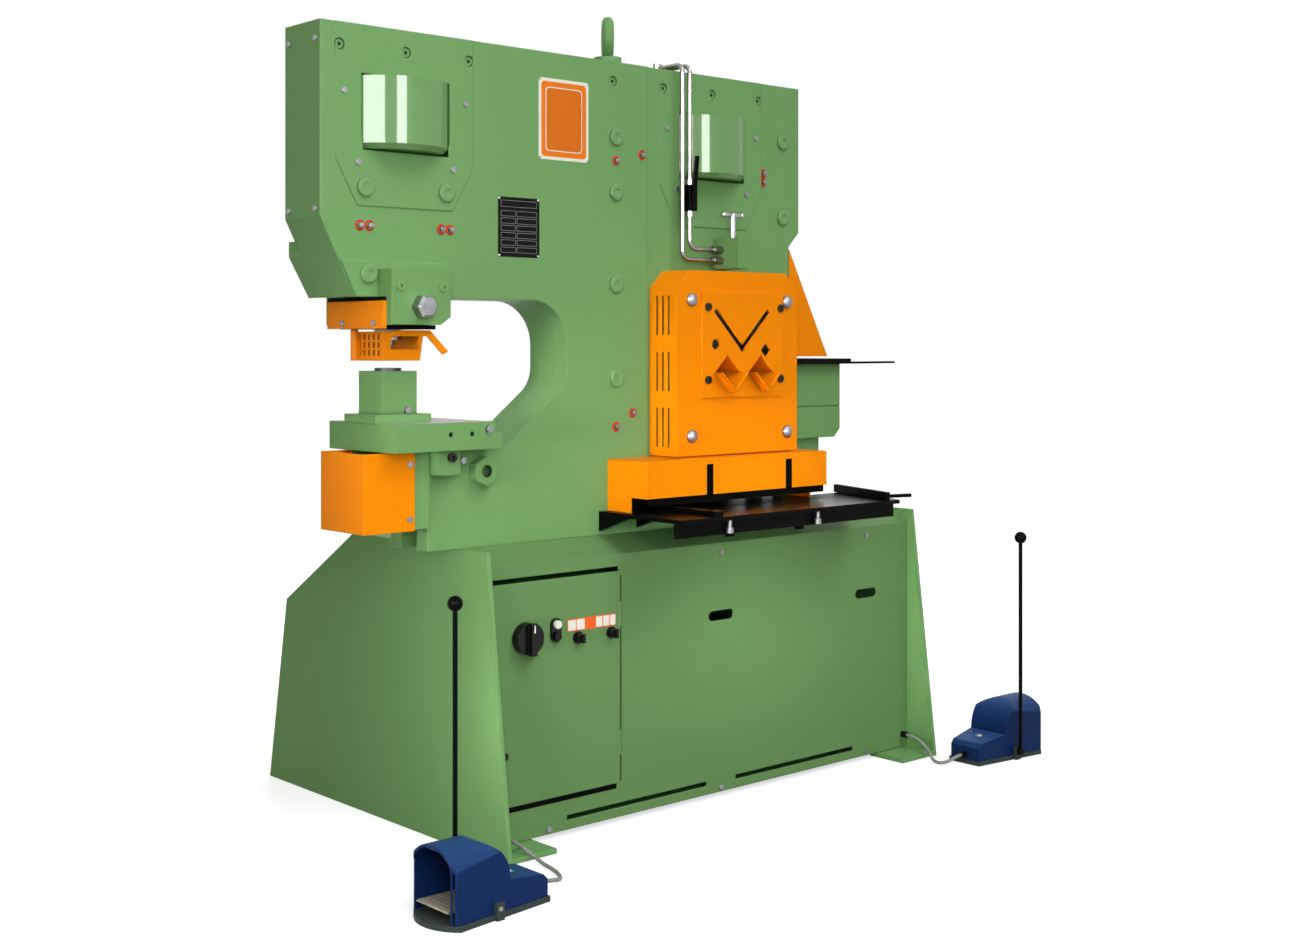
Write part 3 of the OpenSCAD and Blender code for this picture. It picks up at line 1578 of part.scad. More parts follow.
module notcher_guard() {
    x0 = frame_low_right_x;
    slope = (notch_guard_x1 - x0) / (notch_guard_top_z - notch_guard_low_z);
    color(orange) difference() {
        mid_slab(notch_guard_half_d)
            polygon([[x0, notch_guard_low_z], [notch_guard_x1, notch_guard_low_z],
                     [x0, notch_guard_top_z]]);
        mid_slab(notch_guard_half_d - guard_t)
            polygon([[x0 - over, notch_guard_low_z - over],
                     [notch_guard_x1 - 2 * guard_t + over * slope, notch_guard_low_z - over],
                     [x0 - over, notch_guard_top_z - 2 * guard_t / slope + over / slope]]);
    }
}

// Foot switches: local X runs from the rear end to the mouth
module at_pedal(i) {
    end = routes[i][len(routes[i]) - 1];
    translate([end[0], end[1], 0]) rotate(pedal_turn[i]) translate([cord_gland_len, 0, 0]) children();
}
module on_pedals() {
    for (i = [0, 1]) at_pedal(i) children();
}
function pedal_half_w(x) = pedal_rear_w / 2 + (pedal_w - pedal_rear_w) / 2 * x / pedal_wide_x;
ear_y = pedal_half_w(axle_x + ear_w / 2) - pedal_trim + run_gap;
ear_out_y = ear_y + ear_t;
module pedal_plan(inset) {
    half = pedal_w / 2 - inset;
    rear = pedal_rear_w / 2 - inset;
    spread = asin(half / pedal_nose_r);
    polygon(concat([[inset, rear], [inset, -rear]],
                   arc([pedal_len - pedal_nose_r, 0], pedal_nose_r, -spread, spread)));
}
module pedal_side(inset) {
    top = pedal_h - inset;
    low = pedal_base_t;
    polygon(concat(
        [[pedal_trim, low], [pedal_trim, pedal_rear_h - pedal_bend],
         [pedal_trim + pedal_bend, pedal_rear_h],
         [pedal_neck_x, pedal_neck_h - inset]],
        [for (k = [1:arc_steps]) let (a = 90 * k / arc_steps)
            [pedal_neck_x + (pedal_roof_x - pedal_neck_x) * (1 - cos(a)),
             pedal_neck_h - inset + (pedal_h - pedal_neck_h) * sin(a)]],
        [[pedal_mouth_x + inset * over, top], [pedal_mouth_x + inset * over, low]]));
}
module pedal_arch(inset) {
    half = pedal_w / 2 - pedal_trim - inset;
    rise = pedal_h - pedal_side_h;
    r = (half * half + rise * rise) / (2 * rise);
    a = asin(half / r);
    polygon(concat([[half, 0], [half, pedal_side_h - inset]],
                   arc([0, pedal_h - inset - r], r, 90 - a, 90 + a),
                   [[-half, pedal_side_h - inset], [-half, 0]]));
}
module pedal_bases() {
    color(dark_grey) on_pedals() difference() {
        union() {
            linear_extrude(pedal_base_t) pedal_plan(0);
            difference() {
                block([axle_x - ear_w / 2, -ear_out_y, 0], [axle_x + ear_w / 2, ear_out_y, ear_h]);
                block([axle_x - ear_w, -ear_y, pedal_base_t], [axle_x + ear_w, ear_y, ear_h + over]);
            }
        }
        rod_y(axle_x, -pedal_w, pedal_w, axle_z, axle_r + run_gap);
    }
}
module pedal_housings() {
    color(blue) on_pedals() difference() {
        intersection() {
            slab_xy(pedal_base_t, pedal_h) pedal_plan(pedal_trim);
            slab_xz(-pedal_w, pedal_w) pedal_side(0);
            slab_yz(0, pedal_len) pedal_arch(0);
        }
        intersection() {
            slab_xy(pedal_base_t - over, pedal_h) pedal_plan(pedal_trim + pedal_wall);
            slab_xz(-pedal_w, pedal_w) difference() {
                translate([0, -over]) pedal_side(pedal_wall);
                square([2 * (pedal_neck_x + pedal_wall), 2 * pedal_h], center = true);
            }
            slab_yz(0, 2 * pedal_len) pedal_arch(pedal_wall);
        }
        block([axle_x - axle_r - axle_notch, -pedal_w, 0],
              [axle_x + axle_r + axle_notch, pedal_w, axle_z + axle_r + axle_notch]);
    }
}
module treadle() {
    front = pedal_mouth_x - treadle_gap;
    half = pedal_half_w(axle_x - treadle_back) - pedal_trim - pedal_wall - treadle_side / 2;
    rod_y(axle_x, -ear_out_y, ear_out_y, axle_z, axle_r);
    slab_xz(-half, half)
        polygon([[axle_x - treadle_back, axle_z], [front, axle_z + treadle_rise],
                 [front + treadle_t, axle_z + treadle_rise + treadle_t / 2],
                 [front, axle_z + treadle_rise + treadle_t],
                 [axle_x - treadle_back, axle_z + 2 * treadle_t]]);
}
module hand_lever() {
    y1 = -ear_out_y;
    y0 = y1 - lever_hub_w;
    rod_y(axle_x, y0, y1, axle_z, lever_hub_r);
    rod_z(axle_x, (y0 + y1) / 2, axle_z, lever_z, lever_r);
    translate([axle_x, (y0 + y1) / 2, lever_z]) sphere(lever_ball_r);
}
module left_treadle() {
    color(grey) at_pedal(0) treadle();
}
module right_treadle() {
    color(grey) at_pedal(1) treadle();
}
module left_hand_lever() {
    color(black) at_pedal(0) hand_lever();
}
module right_hand_lever() {
    color(black) at_pedal(1) hand_lever();
}

// Glands on the front panel and at the rear of each foot switch
module cable_glands() {
    color(black) {
        for (r = routes) rod_y(r[0][0], panel_y - gland_len, panel_y, r[0][2], gland_r);
        for (i = [0, 1]) at_pedal(i)
            rod_x(-cord_gland_len, pedal_trim, 0, routes[i][len(routes[i]) - 1][2], gland_r);
    }
}

// Cords: a tube swept along each route
function unit(v) = v / norm(v);
function tube_ring(route, i) =
    let (n = len(route), d = unit(route[min(i + 1, n - 1)] - route[max(i - 1, 0)]),
         u = unit(cross(d, [0, 0, 1])), w = cross(u, d))
    [for (k = [0:cord_sides - 1]) let (a = 360 * k / cord_sides)
        route[i] + cord_r * (cos(a) * u + sin(a) * w)];
module cord(route) {
    n = len(route);
    s = cord_sides;
    pts = [for (i = [0:n - 1]) each tube_ring(route, i)];
    walls = [for (i = [0:n - 2], k = [0:s - 1])
        [i * s + k, i * s + (k + 1) % s, (i + 1) * s + (k + 1) % s, (i + 1) * s + k]];
    ends = [[for (k = [s - 1:-1:0]) k], [for (k = [0:s - 1]) (n - 1) * s + k]];
    polyhedron(pts, concat(walls, ends));
}
module left_pedal_cord() {
    color(grey) cord(left_route);
}
module right_pedal_cord() {
    color(grey) cord(right_route);
}

// Punch ram: rod, flat body between the plates, shank through the guide, union nut
module punch_ram() {
    color(steel) {
        mid_rod(punch_x, ram_top_z, barrel_top_z - barrel_gap, rod_r);
        mid_block(punch_x - ram_half_w, punch_x + ram_half_w, slide_half_d, ram_low_z, ram_top_z);
        mid_rod(punch_x, nut_top_z, ram_low_z, ram_r);
        mid_rod(punch_x, nut_low_z, nut_top_z, nut_r);
    }
}
module punch() {
    color(steel) {
        mid_rod(punch_x, shoulder_z, nut_low_z, shoulder_r);
        mid_rod(punch_x, punch_low_z, shoulder_z, punch_r);
    }
}

// Swing guard: three sheet walls open to the rear, pressed grid, pivot pin, bent handle across the front
module punch_guard() {
    arch_x0 = punch_x - arch_w;
    arch_x1 = basket_right_x - basket_lean - basket_t;
    arch_z0 = basket_low_z + arch_rise;
    arch_z1 = basket_top_z - arch_drop;
    color(orange) {
        slab_xz(basket_front_y, basket_front_y + basket_t) difference() {
            polygon([[basket_left_x, basket_low_z], [basket_right_x - basket_lean, basket_low_z],
                     [basket_right_x, basket_top_z], [basket_left_x, basket_top_z]]);
            polygon([[arch_x0, arch_z0], [arch_x1, arch_z0], [arch_x1, arch_z1],
                     [arch_x0 + arch_cut, arch_z1], [arch_x0, arch_z1 - arch_cut]]);
        }
        difference() {
            block([basket_left_x, basket_front_y, basket_low_z],
                  [basket_left_x + basket_t, basket_rear_y, basket_top_z]);
            for (i = [1:grid_cols], j = [1:grid_rows])
                translate([basket_left_x - over, basket_front_y + grid_pitch_y * i - grid_w / 2,
                           basket_low_z + grid_pitch_z * j - grid_h / 2])
                    cube([over + grid_d, grid_w, grid_h]);
        }
        slab_xz(basket_front_y, basket_rear_y)
            polygon([[basket_right_x - basket_lean - basket_t, basket_low_z],
                     [basket_right_x - basket_lean, basket_low_z], [basket_right_x, basket_top_z],
                     [basket_right_x - basket_t, basket_top_z]]);
        rod_z(pivot_x, pivot_y, basket_low_z, stripper_low_z - run_gap, lug_r);
        block([pivot_x, pivot_y - basket_t, basket_low_z],
              [basket_left_x + grid_d, pivot_y + basket_t, basket_top_z]);
        rod_z(pivot_x, pivot_y, stripper_low_z - over, stripper_low_z + pivot_depth, pivot_r);
        slab_xz(basket_front_y - handle_t, basket_front_y)
            polygon([[handle_foot_x, handle_top_z - handle_w], [handle_bend_x, handle_top_z - handle_w],
                     [handle_end_x - handle_w, handle_top_z - handle_drop],
                     [handle_end_x, handle_top_z - handle_drop + handle_w / 2],
                     [handle_bend_x + handle_w / 2, handle_top_z],
                     [handle_foot_x + handle_w, handle_top_z]]);
    }
}

// Hexagonal clamp knob on the guide's front face
module clamp_knob() {
    y1 = frame_y - guide_half_d - run_gap;
    color(steel) {
        translate([punch_x, y1, knob_z]) rotate([90, 0, 0]) {
            cylinder(r = knob_r, h = knob_d - knob_bevel, $fn = hex_sides);
            translate([0, 0, knob_d - knob_bevel])
                cylinder(r1 = knob_r, r2 = knob_r - knob_bevel, h = knob_bevel, $fn = hex_sides);
        }
        rod_y(punch_x, y1, y1 + knob_shaft_d - 2 * run_gap, knob_z, knob_shaft_r);
    }
}

// Shear slide: flat body between the plates with the section apertures, raked flat blade, notching arm
module shear_slide() {
    color(steel) difference() {
        union() {
            mid_slab(slide_half_d)
                polygon([[slide_x0, slide_low_z], [slide_x1, slide_low_z + slide_rake],
                         [slide_x1, arm_z0],
                         [arm_x1, arm_z0], [arm_x1, arm_z0 + arm_h], [slide_x1, arm_z0 + arm_h],
                         [slide_x1, slide_top_z], [slide_x0, slide_top_z]]);
            mid_block(notch_punch_x0, arm_x1, notch_punch_half_d, notch_punch_z, arm_z0);
            mid_rod(shear_x, slide_top_z, barrel_top_z - barrel_gap, rod_r);
        }
        mid_slab(frame_t) apertures(bar_side);
    }
}

// Hold-down screw with its tee handle
module hold_down_screw() {
    top = hold_low_z + hold_h + hold_screw_out;
    color(steel) {
        rod_z(hold_screw_x, hold_screw_y, hold_low_z + hold_h - hold_screw_in + run_gap, top,
              hold_screw_r);
        rod_x(hold_screw_x - tee_half, hold_screw_x + tee_half, hold_screw_y, top, tee_r);
        for (s = [-1, 1]) translate([hold_screw_x + s * tee_half, hold_screw_y, top]) sphere(tee_ball_r);
        translate([hold_screw_x, hold_screw_y, top]) sphere(tee_ball_r);
    }
}

// Lever of the ball valve, upright while the valve is open
module valve_lever() {
    x = pipe_x[1];
    y1 = pipe_y - valve_half_w - run_gap;
    color(black) {
        rod_y(x, y1, y1 + valve_stem_d, valve_z, valve_stem_r);
        rod_y(x, y1 - valve_lever_t, y1, valve_z, valve_hub_r);
        slab_xz(y1 - valve_lever_t, y1) polygon([
            [x - valve_lever_w / 2, valve_z], [x + valve_lever_w / 2, valve_z],
            [x + valve_lever_w * 3 / 2, valve_z + valve_lever_len],
            [x + valve_lever_w / 2, valve_z + valve_lever_len]]);
    }
}

// Control door: sheet with a folded return, hinge barrels on its right edge, bores for its controls
module control_door() {
    hinge_x = door_x1 + hinge_r - hinge_lap;
    in0 = [door_x0 + opening_lap + door_return_gap, panel_y, door_z0 + opening_lap + door_return_gap];
    in1 = [door_x1 - opening_lap - door_return_set, panel_y + door_return,
           door_z1 - opening_lap - door_return_gap];
    color(green) {
        difference() {
            union() {
                block([door_x0, door_y, door_z0], [door_x1, panel_y, door_z1]);
                difference() {
                    block(in0, in1);
                    block(in0 + [door_t, -over, door_t], in1 + [-door_t, over, -door_t]);
                }
            }
            rod_y(switch_x, door_y - over, panel_y + over, switch_z, spindle_r + run_gap);
            for (z = button_z) rod_y(button_x, door_y - over, panel_y + over, z, button_r / 2 + run_gap);
            for (x = selector_x) rod_y(x, door_y - over, panel_y + over, selector_z, spindle_r + run_gap);
        }
        for (z = [door_z0 + hinge_inset, door_z1 - hinge_inset - hinge_len])
            rod_z(hinge_x, door_y, z, z + hinge_len, hinge_r);
    }
}

// Fittings on the door: switch plate, button bezels, selector rings, lock
module door_fittings() {
    color(black) {
        difference() {
            rod_y(switch_x, door_y - switch_plate_t, door_y, switch_z, switch_plate_r);
            rod_y(switch_x, door_y - switch_plate_t - over, door_y + over, switch_z, spindle_r + run_gap);
        }
        difference() {
            translate([button_x, 0, 0]) slab_xz(door_y - bezel_t, door_y)
                translate([0, (button_z[0] + button_z[1]) / 2]) rotate(90)
                    obround((button_z[0] - button_z[1]) / 2, bezel_r);
            for (z = button_z) rod_y(button_x, door_y - bezel_t - over, door_y + over, z,
                                     button_r + run_gap);
        }
        for (x = selector_x) difference() {
            rod_y(x, door_y - selector_ring_t, door_y, selector_z, selector_ring_r);
            rod_y(x, door_y - selector_ring_t - over, door_y + over, selector_z, spindle_r + run_gap);
        }
        rod_y(door_x0 + lock_set, door_y - lock_t, door_y, door_z0 + lock_rise, lock_r);
    }
}

// Turning and pressed controls on the door
module main_switch() {
    y1 = door_y - switch_plate_t - run_gap;
    y0 = y1 - switch_d;
    color(black) {
        rod_y(switch_x, y0, y1, switch_z, main_switch_r);
        block([switch_x - switch_grip_w / 2, y0 - switch_grip_d, switch_z - main_switch_r],
              [switch_x + switch_grip_w / 2, y0, switch_z + main_switch_r]);
        rod_y(switch_x, y1, panel_y, switch_z, spindle_r);
    }
}
module button(z) {
    rod_y(button_x, door_y - bezel_t - button_d, door_y - button_travel - run_gap, z, button_r);
    rod_y(button_x, door_y - button_travel - run_gap, panel_y, z, button_r / 2);
}
module start_button() {
    color("white") button(button_z[0]);
}
module stop_button() {
    color(black) button(button_z[1]);
}
module selector(x) {
    y1 = door_y - selector_ring_t - run_gap;
    y0 = y1 - selector_d;
    rod_y(x, y0, y1, selector_z, selector_r);
    block([x - selector_grip_w / 2, y0 - selector_grip_d, selector_z - selector_r],
          [x + selector_grip_w / 2, y0, selector_z + selector_r]);
    rod_y(x, y1, panel_y, selector_z, spindle_r);
}
module selector_left() {
    color(black) selector(selector_x[0]);
}
module selector_right() {
    color(black) selector(selector_x[1]);
}

side_plates();
base_floor();
deck_plate();
front_panel();
rear_panel();
control_box();
control_gear();
power_unit();
front_frame_plate();
rear_frame_plate();
throat_liner();
frame_covers();
lifting_eye();
tie_bolts();
socket_screws();
cover_screws();
punch_cylinder();
ram_guide();
ram_cover();
stripper_plate();
die_table();
die_block();
punch_die();
slug_cover();
table_clamp();
shear_cylinder();
shear_blades();
section_guard();
section_plate();
flat_shear_guard();
shear_table();
hold_down_block();
hydraulic_pipes();
ball_valve();
notcher_block();
notcher_table();
notcher_guard();
pedal_bases();
pedal_housings();
cable_glands();
left_pedal_cord();
right_pedal_cord();
punch_ram();
punch();
punch_guard();
clamp_knob();
shear_slide();
hold_down_screw();
valve_lever();
control_door();
door_fittings();
main_switch();
start_button();
stop_button();
selector_left();
selector_right();
left_treadle();
left_hand_lever();
right_treadle();
right_hand_lever();
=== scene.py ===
import math

import bmesh
import bpy
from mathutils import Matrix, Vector


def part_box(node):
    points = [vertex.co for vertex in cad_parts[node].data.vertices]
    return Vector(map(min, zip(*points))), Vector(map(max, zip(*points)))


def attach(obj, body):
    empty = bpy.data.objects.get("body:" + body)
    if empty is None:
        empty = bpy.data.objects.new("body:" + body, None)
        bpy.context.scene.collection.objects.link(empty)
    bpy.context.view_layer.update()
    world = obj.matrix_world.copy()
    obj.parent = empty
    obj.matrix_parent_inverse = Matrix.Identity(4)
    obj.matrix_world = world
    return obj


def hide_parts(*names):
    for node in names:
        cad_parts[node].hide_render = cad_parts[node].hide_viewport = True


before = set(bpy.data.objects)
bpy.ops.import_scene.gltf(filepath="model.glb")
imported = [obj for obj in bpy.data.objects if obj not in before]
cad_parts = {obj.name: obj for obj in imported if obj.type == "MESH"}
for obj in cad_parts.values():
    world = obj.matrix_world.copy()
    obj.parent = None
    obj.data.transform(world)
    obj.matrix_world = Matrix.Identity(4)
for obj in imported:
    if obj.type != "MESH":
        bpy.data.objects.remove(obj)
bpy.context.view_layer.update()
scene = bpy.context.scene


# Base: two leaning side plates, a folded front panel, a vented rear panel, a floor and a deck, welded
# from thick sheet steel, ground at the corners and sprayed with a semi-gloss machine enamel that keeps
# a fine orange peel, with a paler painted highlight over every edge.
class Value:
    """A socket that takes part in Python arithmetic; each step adds one Math node."""

    def __init__(self, nodes, socket):
        self.nodes, self.socket = nodes, socket

    def math(self, operation, first, second):
        return self.nodes.node("ShaderNodeMath", {"operation": operation}, {0: first, 1: second})

    def __add__(self, other):
        return self.math("ADD", self, other)

    def __sub__(self, other):
        return self.math("SUBTRACT", self, other)

    def __rsub__(self, other):
        return self.math("SUBTRACT", other, self)

    def __mul__(self, other):
        return self.math("MULTIPLY", self, other)

    def __lt__(self, other):
        return self.math("LESS_THAN", self, other)

    def __gt__(self, other):
        return self.math("GREATER_THAN", self, other)

    def __or__(self, other):
        return self.math("MAXIMUM", self, other)

    __radd__, __rmul__ = __add__, __mul__


class Nodes:
    """A node tree of a finish or of the room."""

    def __init__(self, tree):
        self.tree = tree

    def give(self, node, key, value):
        socket = node.inputs[key] if isinstance(key, int) else next(
            s for s in node.inputs if key in (s.identifier, s.name))
        if isinstance(value, Value):
            self.tree.links.new(value.socket, socket)
        elif socket.type == "RGBA":
            socket.default_value = (*value, 1)
        else:
            socket.default_value = value

    def node(self, kind, settings=None, sockets=None, give=0):
        node = self.tree.nodes.new(kind)
        for key, value in (settings or {}).items():
            if key == "stops":
                for element, (at, grey) in zip(node.color_ramp.elements, value):
                    element.position, element.color = at, (grey, grey, grey, 1)
            else:
                setattr(node, key, value)
        for key, value in (sockets or {}).items():
            self.give(node, key, value)
        found = node.outputs[give] if isinstance(give, int) else next(
            s for s in node.outputs if give in (s.identifier, s.name))
        return Value(self, found)

    def blend(self, share, first, second):
        return self.node("ShaderNodeMix", {"data_type": "RGBA"},
                         {"Factor_Float": share, "A_Color": first, "B_Color": second}, "Result_Color")


class Finish(Nodes):
    """One procedural surface: a Principled shader and the nodes that feed it."""

    def __init__(self, name, **fixed):
        self.material = bpy.data.materials.new(name)
        self.material.use_nodes = True
        super().__init__(self.material.node_tree)
        self.tree.nodes.clear()
        self.shader = self.tree.nodes.new("ShaderNodeBsdfPrincipled")
        output = self.tree.nodes.new("ShaderNodeOutputMaterial")
        self.tree.links.new(self.shader.outputs[0], output.inputs[0])
        self.place = self.node("ShaderNodeTexCoord", give="Object")
        self.wear(**fixed)

    def noise(self, scale, detail=2.0, stretch=None):
        place = self.place
        if stretch:
            place = self.node("ShaderNodeMapping", None, {"Vector": place, "Scale": stretch})
        return self.node("ShaderNodeTexNoise", None, {"Vector": place, "Scale": scale, "Detail": detail})

    def ramp(self, value, low, high):
        return self.node("ShaderNodeValToRGB", {"stops": ((low, 0.0), (high, 1.0))}, {"Fac": value})

    def along(self, axis):
        return self.node("ShaderNodeSeparateXYZ", None, {"Vector": self.place}, axis)

    def rounded(self, radius):
        return self.node("ShaderNodeBevel", {"samples": 4}, {"Radius": radius})

    def edges(self, rounded):
        true_normal = self.node("ShaderNodeNewGeometry", give="Normal")
        return 1 - self.node("ShaderNodeVectorMath", {"operation": "DOT_PRODUCT"},
                             {0: rounded, 1: true_normal}, "Value")

    # Painted shade: the share of a point that lies in a hollow of its own piece, from ambient occlusion.
    def hollow_shade(self, reach):
        open_share = self.node("ShaderNodeAmbientOcclusion", {"samples": 8, "only_local": True},
                               {"Distance": reach}, "AO")
        return 1 - self.ramp(open_share, low=0.30, high=0.72)

    def facing(self, axis):
        own_normal = self.node("ShaderNodeTexCoord", give="Normal")
        return self.node("ShaderNodeSeparateXYZ", None, {"Vector": own_normal}, axis)

    def bump(self, height, distance, normal=None):
        sockets = {"Height": height, "Distance": distance, "Strength": 1.0}
        if normal:
            sockets["Normal"] = normal
        return self.node("ShaderNodeBump", None, sockets)

    def wear(self, **varied):
        for socket, value in varied.items():
            self.give(self.shader, socket.replace("_", " "), value)
        return self.material


def linear(*srgb):
    return tuple(((c / 255 + 0.055) / 1.055) ** 2.4 if c > 10 else c / 255 / 12.92 for c in srgb)


def shade(colour, share, lift=0.0):
    return tuple(min(1.0, c * share + lift) for c in colour)


GROUND_METAL = (0.36, 0.33, 0.33)


def paint(name, colour, roughness, peel=0.00010, edge=0.003, gloss=0.12, highlight_lift=0.03, bare=None,
          shade_mask=None, wet=None, **fixed):
    """Sprayed enamel: cloudy film, orange peel, dust in the film, a paler painted highlight over each edge.
    The highlight's lift is what that edge line adds, the shade share gives what painted shade darkens in
    recesses, bare the share left as ground metal and wet the share under a clear polish."""
    finish = Finish(name, IOR=1.45, Specular_IOR_Level=gloss, **fixed)
    cloud = finish.noise(scale=1.7, detail=4.0)
    soil = finish.noise(scale=23.0, detail=5.0)
    film = finish.noise(scale=260.0, detail=1.0)
    rounded = finish.rounded(edge)
    rim = finish.ramp(finish.edges(rounded), low=0.02, high=0.24)
    thin, thick, soiled, recess_shade = (shade(colour, share) for share in (0.93, 1.06, 0.75, 0.10))
    body = finish.blend(cloud, thin, thick)
    body = finish.blend(finish.ramp(soil, low=0.55, high=0.85) * 0.12, body, soiled)
    # Painted highlight: a paler line along every edge.
    body = finish.blend(rim * 0.42, body, shade(colour, share=1.55, lift=highlight_lift))
    # Painted shade darkens the recesses.
    if shade_mask:
        body = finish.blend(shade_mask(finish), body, recess_shade)
    if bare:
        ground = bare(finish)
        body = finish.blend(ground, body, GROUND_METAL)
        finish.wear(Metallic=ground)
    if wet:
        finish.wear(Coat_Weight=wet(finish))
    return finish.wear(Base_Color=body, Roughness=roughness + 0.10 * soil - 0.06 * rim,
                       Normal=finish.bump(film, peel, rounded))


def dress(material, *nodes):
    for name in nodes:
        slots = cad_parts[name].data.materials
        slots.clear()
        slots.append(material)


GREEN = linear(113, 160, 103)
green = paint("green_enamel", GREEN, 0.42)
dress(green, "side_plates", "base_floor", "deck_plate", "rear_panel")
panel = paint("panel_enamel", linear(102, 142, 90), 0.44)
dress(panel, "front_panel")


# Frame: two thick flame-cut plates tied side by side, with the liner strip of the throat, the edge
# covers, the tie bolts and the lifting eye. Their edges are ground wider before the same enamel, so the
# painted highlight along them runs wider too.
heavy = paint("frame_enamel", GREEN, 0.40, edge=0.0045)
dress(heavy, "front_frame_plate", "rear_frame_plate", "throat_liner", "frame_covers", "lifting_eye")
dress(paint("bolt_enamel", GREEN, 0.36, edge=0.009, gloss=0.20), "tie_bolts")


# Cylinders: two turned and honed hydraulic barrels that bulge through windows in the plates, under
# the same green with a clear, wet-looking gloss.
barrel = paint("barrel_enamel", linear(108, 155, 96), 0.30, peel=0.00002, gloss=0.10,
               Coat_Weight=0.55, Coat_Roughness=0.05)
dress(barrel, "punch_cylinder", "shear_cylinder")


# Punch station: ram guide, die table, die block and clamp, with the hold-down and the notcher's bed,
# sand cast, milled where they meet and enamelled over the grainy skin, with painted shade in their
# recesses. The die table's top is ground bare: a face counts as a top when its normal points up by the
# share SQUARE_ON.
SQUARE_ON = 0.9


# Cast enamel: reach is how far the painted shade spreads out of a recess.
def cast(name, reach=0.016, **extra):
    return paint(name, linear(108, 154, 97), 0.44, peel=0.0003, edge=0.004,
                 shade_mask=lambda finish: finish.hollow_shade(reach) * 0.9, **extra)


dress(cast("cast_enamel"), "ram_guide", "die_block", "hold_down_block", "notcher_block")
dress(cast("clamp_enamel", reach=0.034), "table_clamp")
dress(cast("table_enamel", bare=lambda finish: finish.facing("Z") > SQUARE_ON), "die_table")


# Bright parts: turned and ground steel, brushed along the lay of the cut, oiled and never painted.
# Their colour carries painted shade in the hollows and a painted highlight along each edge.
# Blades and slide are hardened tool steel with a darker, straw-grey skin.
def steel(name, colour, roughness, lay_scale=(1.0, 1.0, 14.0)):
    finish = Finish(name, Metallic=1.0)
    lay = finish.noise(scale=60.0, detail=3.0, stretch=lay_scale)
    stain = finish.noise(scale=24.0, detail=4.0)
    rounded = finish.rounded(radius=0.0014)
    rim = finish.ramp(finish.edges(rounded), low=0.02, high=0.30)
    # The first colour is staining, the second painted shade for the hollows, the third a painted highlight
    # for the edges.
    stained, recess_shade, edge_highlight = (shade(colour, share) for share in (0.66, 0.18, 1.6))
    body = finish.blend(finish.ramp(stain, low=0.35, high=0.75), colour, stained)
    body = finish.blend(finish.hollow_shade(reach=0.010) * 0.8, body, recess_shade)
    body = finish.blend(rim * 0.6, body, edge_highlight)
    return finish.wear(Base_Color=body, Roughness=roughness + 0.20 * lay,
                       Normal=finish.bump(lay, 0.00005, rounded))


bright = steel("ground_steel", (0.36, 0.36, 0.37), 0.20)
dress(bright, "clamp_knob", "hold_down_screw", "punch_ram", "punch")
dress(steel("zinc_plate", (0.27, 0.27, 0.29), 0.34), "cover_screws")
dress(steel("drawn_tube", (0.34, 0.32, 0.30), 0.16, (14.0, 14.0, 1.0)), "hydraulic_pipes")
dress(steel("tool_steel", (0.32, 0.32, 0.33), 0.28), "shear_blades", "shear_slide")
dress(steel("blued_steel", (0.060, 0.060, 0.064), 0.34), "punch_die")


# Socket screws: cap heads on the frame and the ram guide, oversprayed with the green, and black-oxide
# heads on the section plate and the table clamp, fitted after painting. Each socket is darkened with
# painted shade.
PLATE_HEADS_Y, CLAMP_HEADS_Z = -0.44, 1.0
heads = Finish("screw_heads", Specular_IOR_Level=0.25)
unpainted = (heads.along("Y") < PLATE_HEADS_Y) | (heads.along("Z") < CLAMP_HEADS_Z)
grit = heads.noise(scale=240.0, detail=2.0)
oversprayed = heads.blend(grit, shade(GREEN, 0.86), shade(GREEN, 1.12))
cap = heads.blend(unpainted, oversprayed, linear(40, 39, 38))
# Painted shade darkens the sockets and the gaps round the heads.
cap = heads.blend(heads.hollow_shade(reach=0.009), cap, linear(16, 20, 14))
dress(heads.wear(Base_Color=cap, Metallic=unpainted * 0.6, Roughness=0.34 + 0.12 * grit,
                 Normal=heads.bump(grit, 0.00008, heads.rounded(0.0015))), "socket_screws")


# Guards: folded and spot-welded sheet steel in signal orange, screwed on or, at the punch, hung on a
# pin. The pockets of the punch guard's pressed grid and the inner ends of the section plate's bar guides
# are darkened with painted shade.
GRID_X = -0.974
POCKET_FROM, POCKET_TO = GRID_X + 0.0003, GRID_X + 0.0035


def signal_orange(name, shade_mask=None):
    return paint(name, linear(244, 139, 0), 0.38, edge=0.0025, gloss=0.08, shade_mask=shade_mask)


# Painted shade deep inside the bar guides.
def guide_end_shade(finish):
    return finish.hollow_shade(reach=0.05) * 0.85


# Painted shade on the left-facing floors of the grid's pockets.
def pocket_shade(finish):
    across = finish.along("X")
    return (across > POCKET_FROM) * (across < POCKET_TO) * (finish.facing("X") < -SQUARE_ON) * 0.75


dress(signal_orange("orange_enamel"), "ram_cover", "slug_cover", "section_guard", "flat_shear_guard",
      "notcher_guard")
dress(signal_orange("plate_orange", guide_end_shade), "section_plate")
dress(signal_orange("basket_enamel", pocket_shade), "punch_guard")


# Tables, stripper, valve and levers: plate and bar under a glossy black stove enamel with a grey
# painted highlight along its edges. The shear's table is polished in front of its guard, less so to the
# right.
guard_low, guard_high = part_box("flat_shear_guard")


def stove_black(name, **extra):
    return paint(name, linear(6, 6, 6), 0.28, peel=0.00004, edge=0.002, gloss=0.04, highlight_lift=0.008, **extra)


def polish(finish):
    laid_on = (finish.facing("Z") > SQUARE_ON) * (finish.along("Y") < guard_low.y)
    return laid_on * (1 - finish.ramp(finish.along("X"), low=0.16, high=0.42)) * 0.7


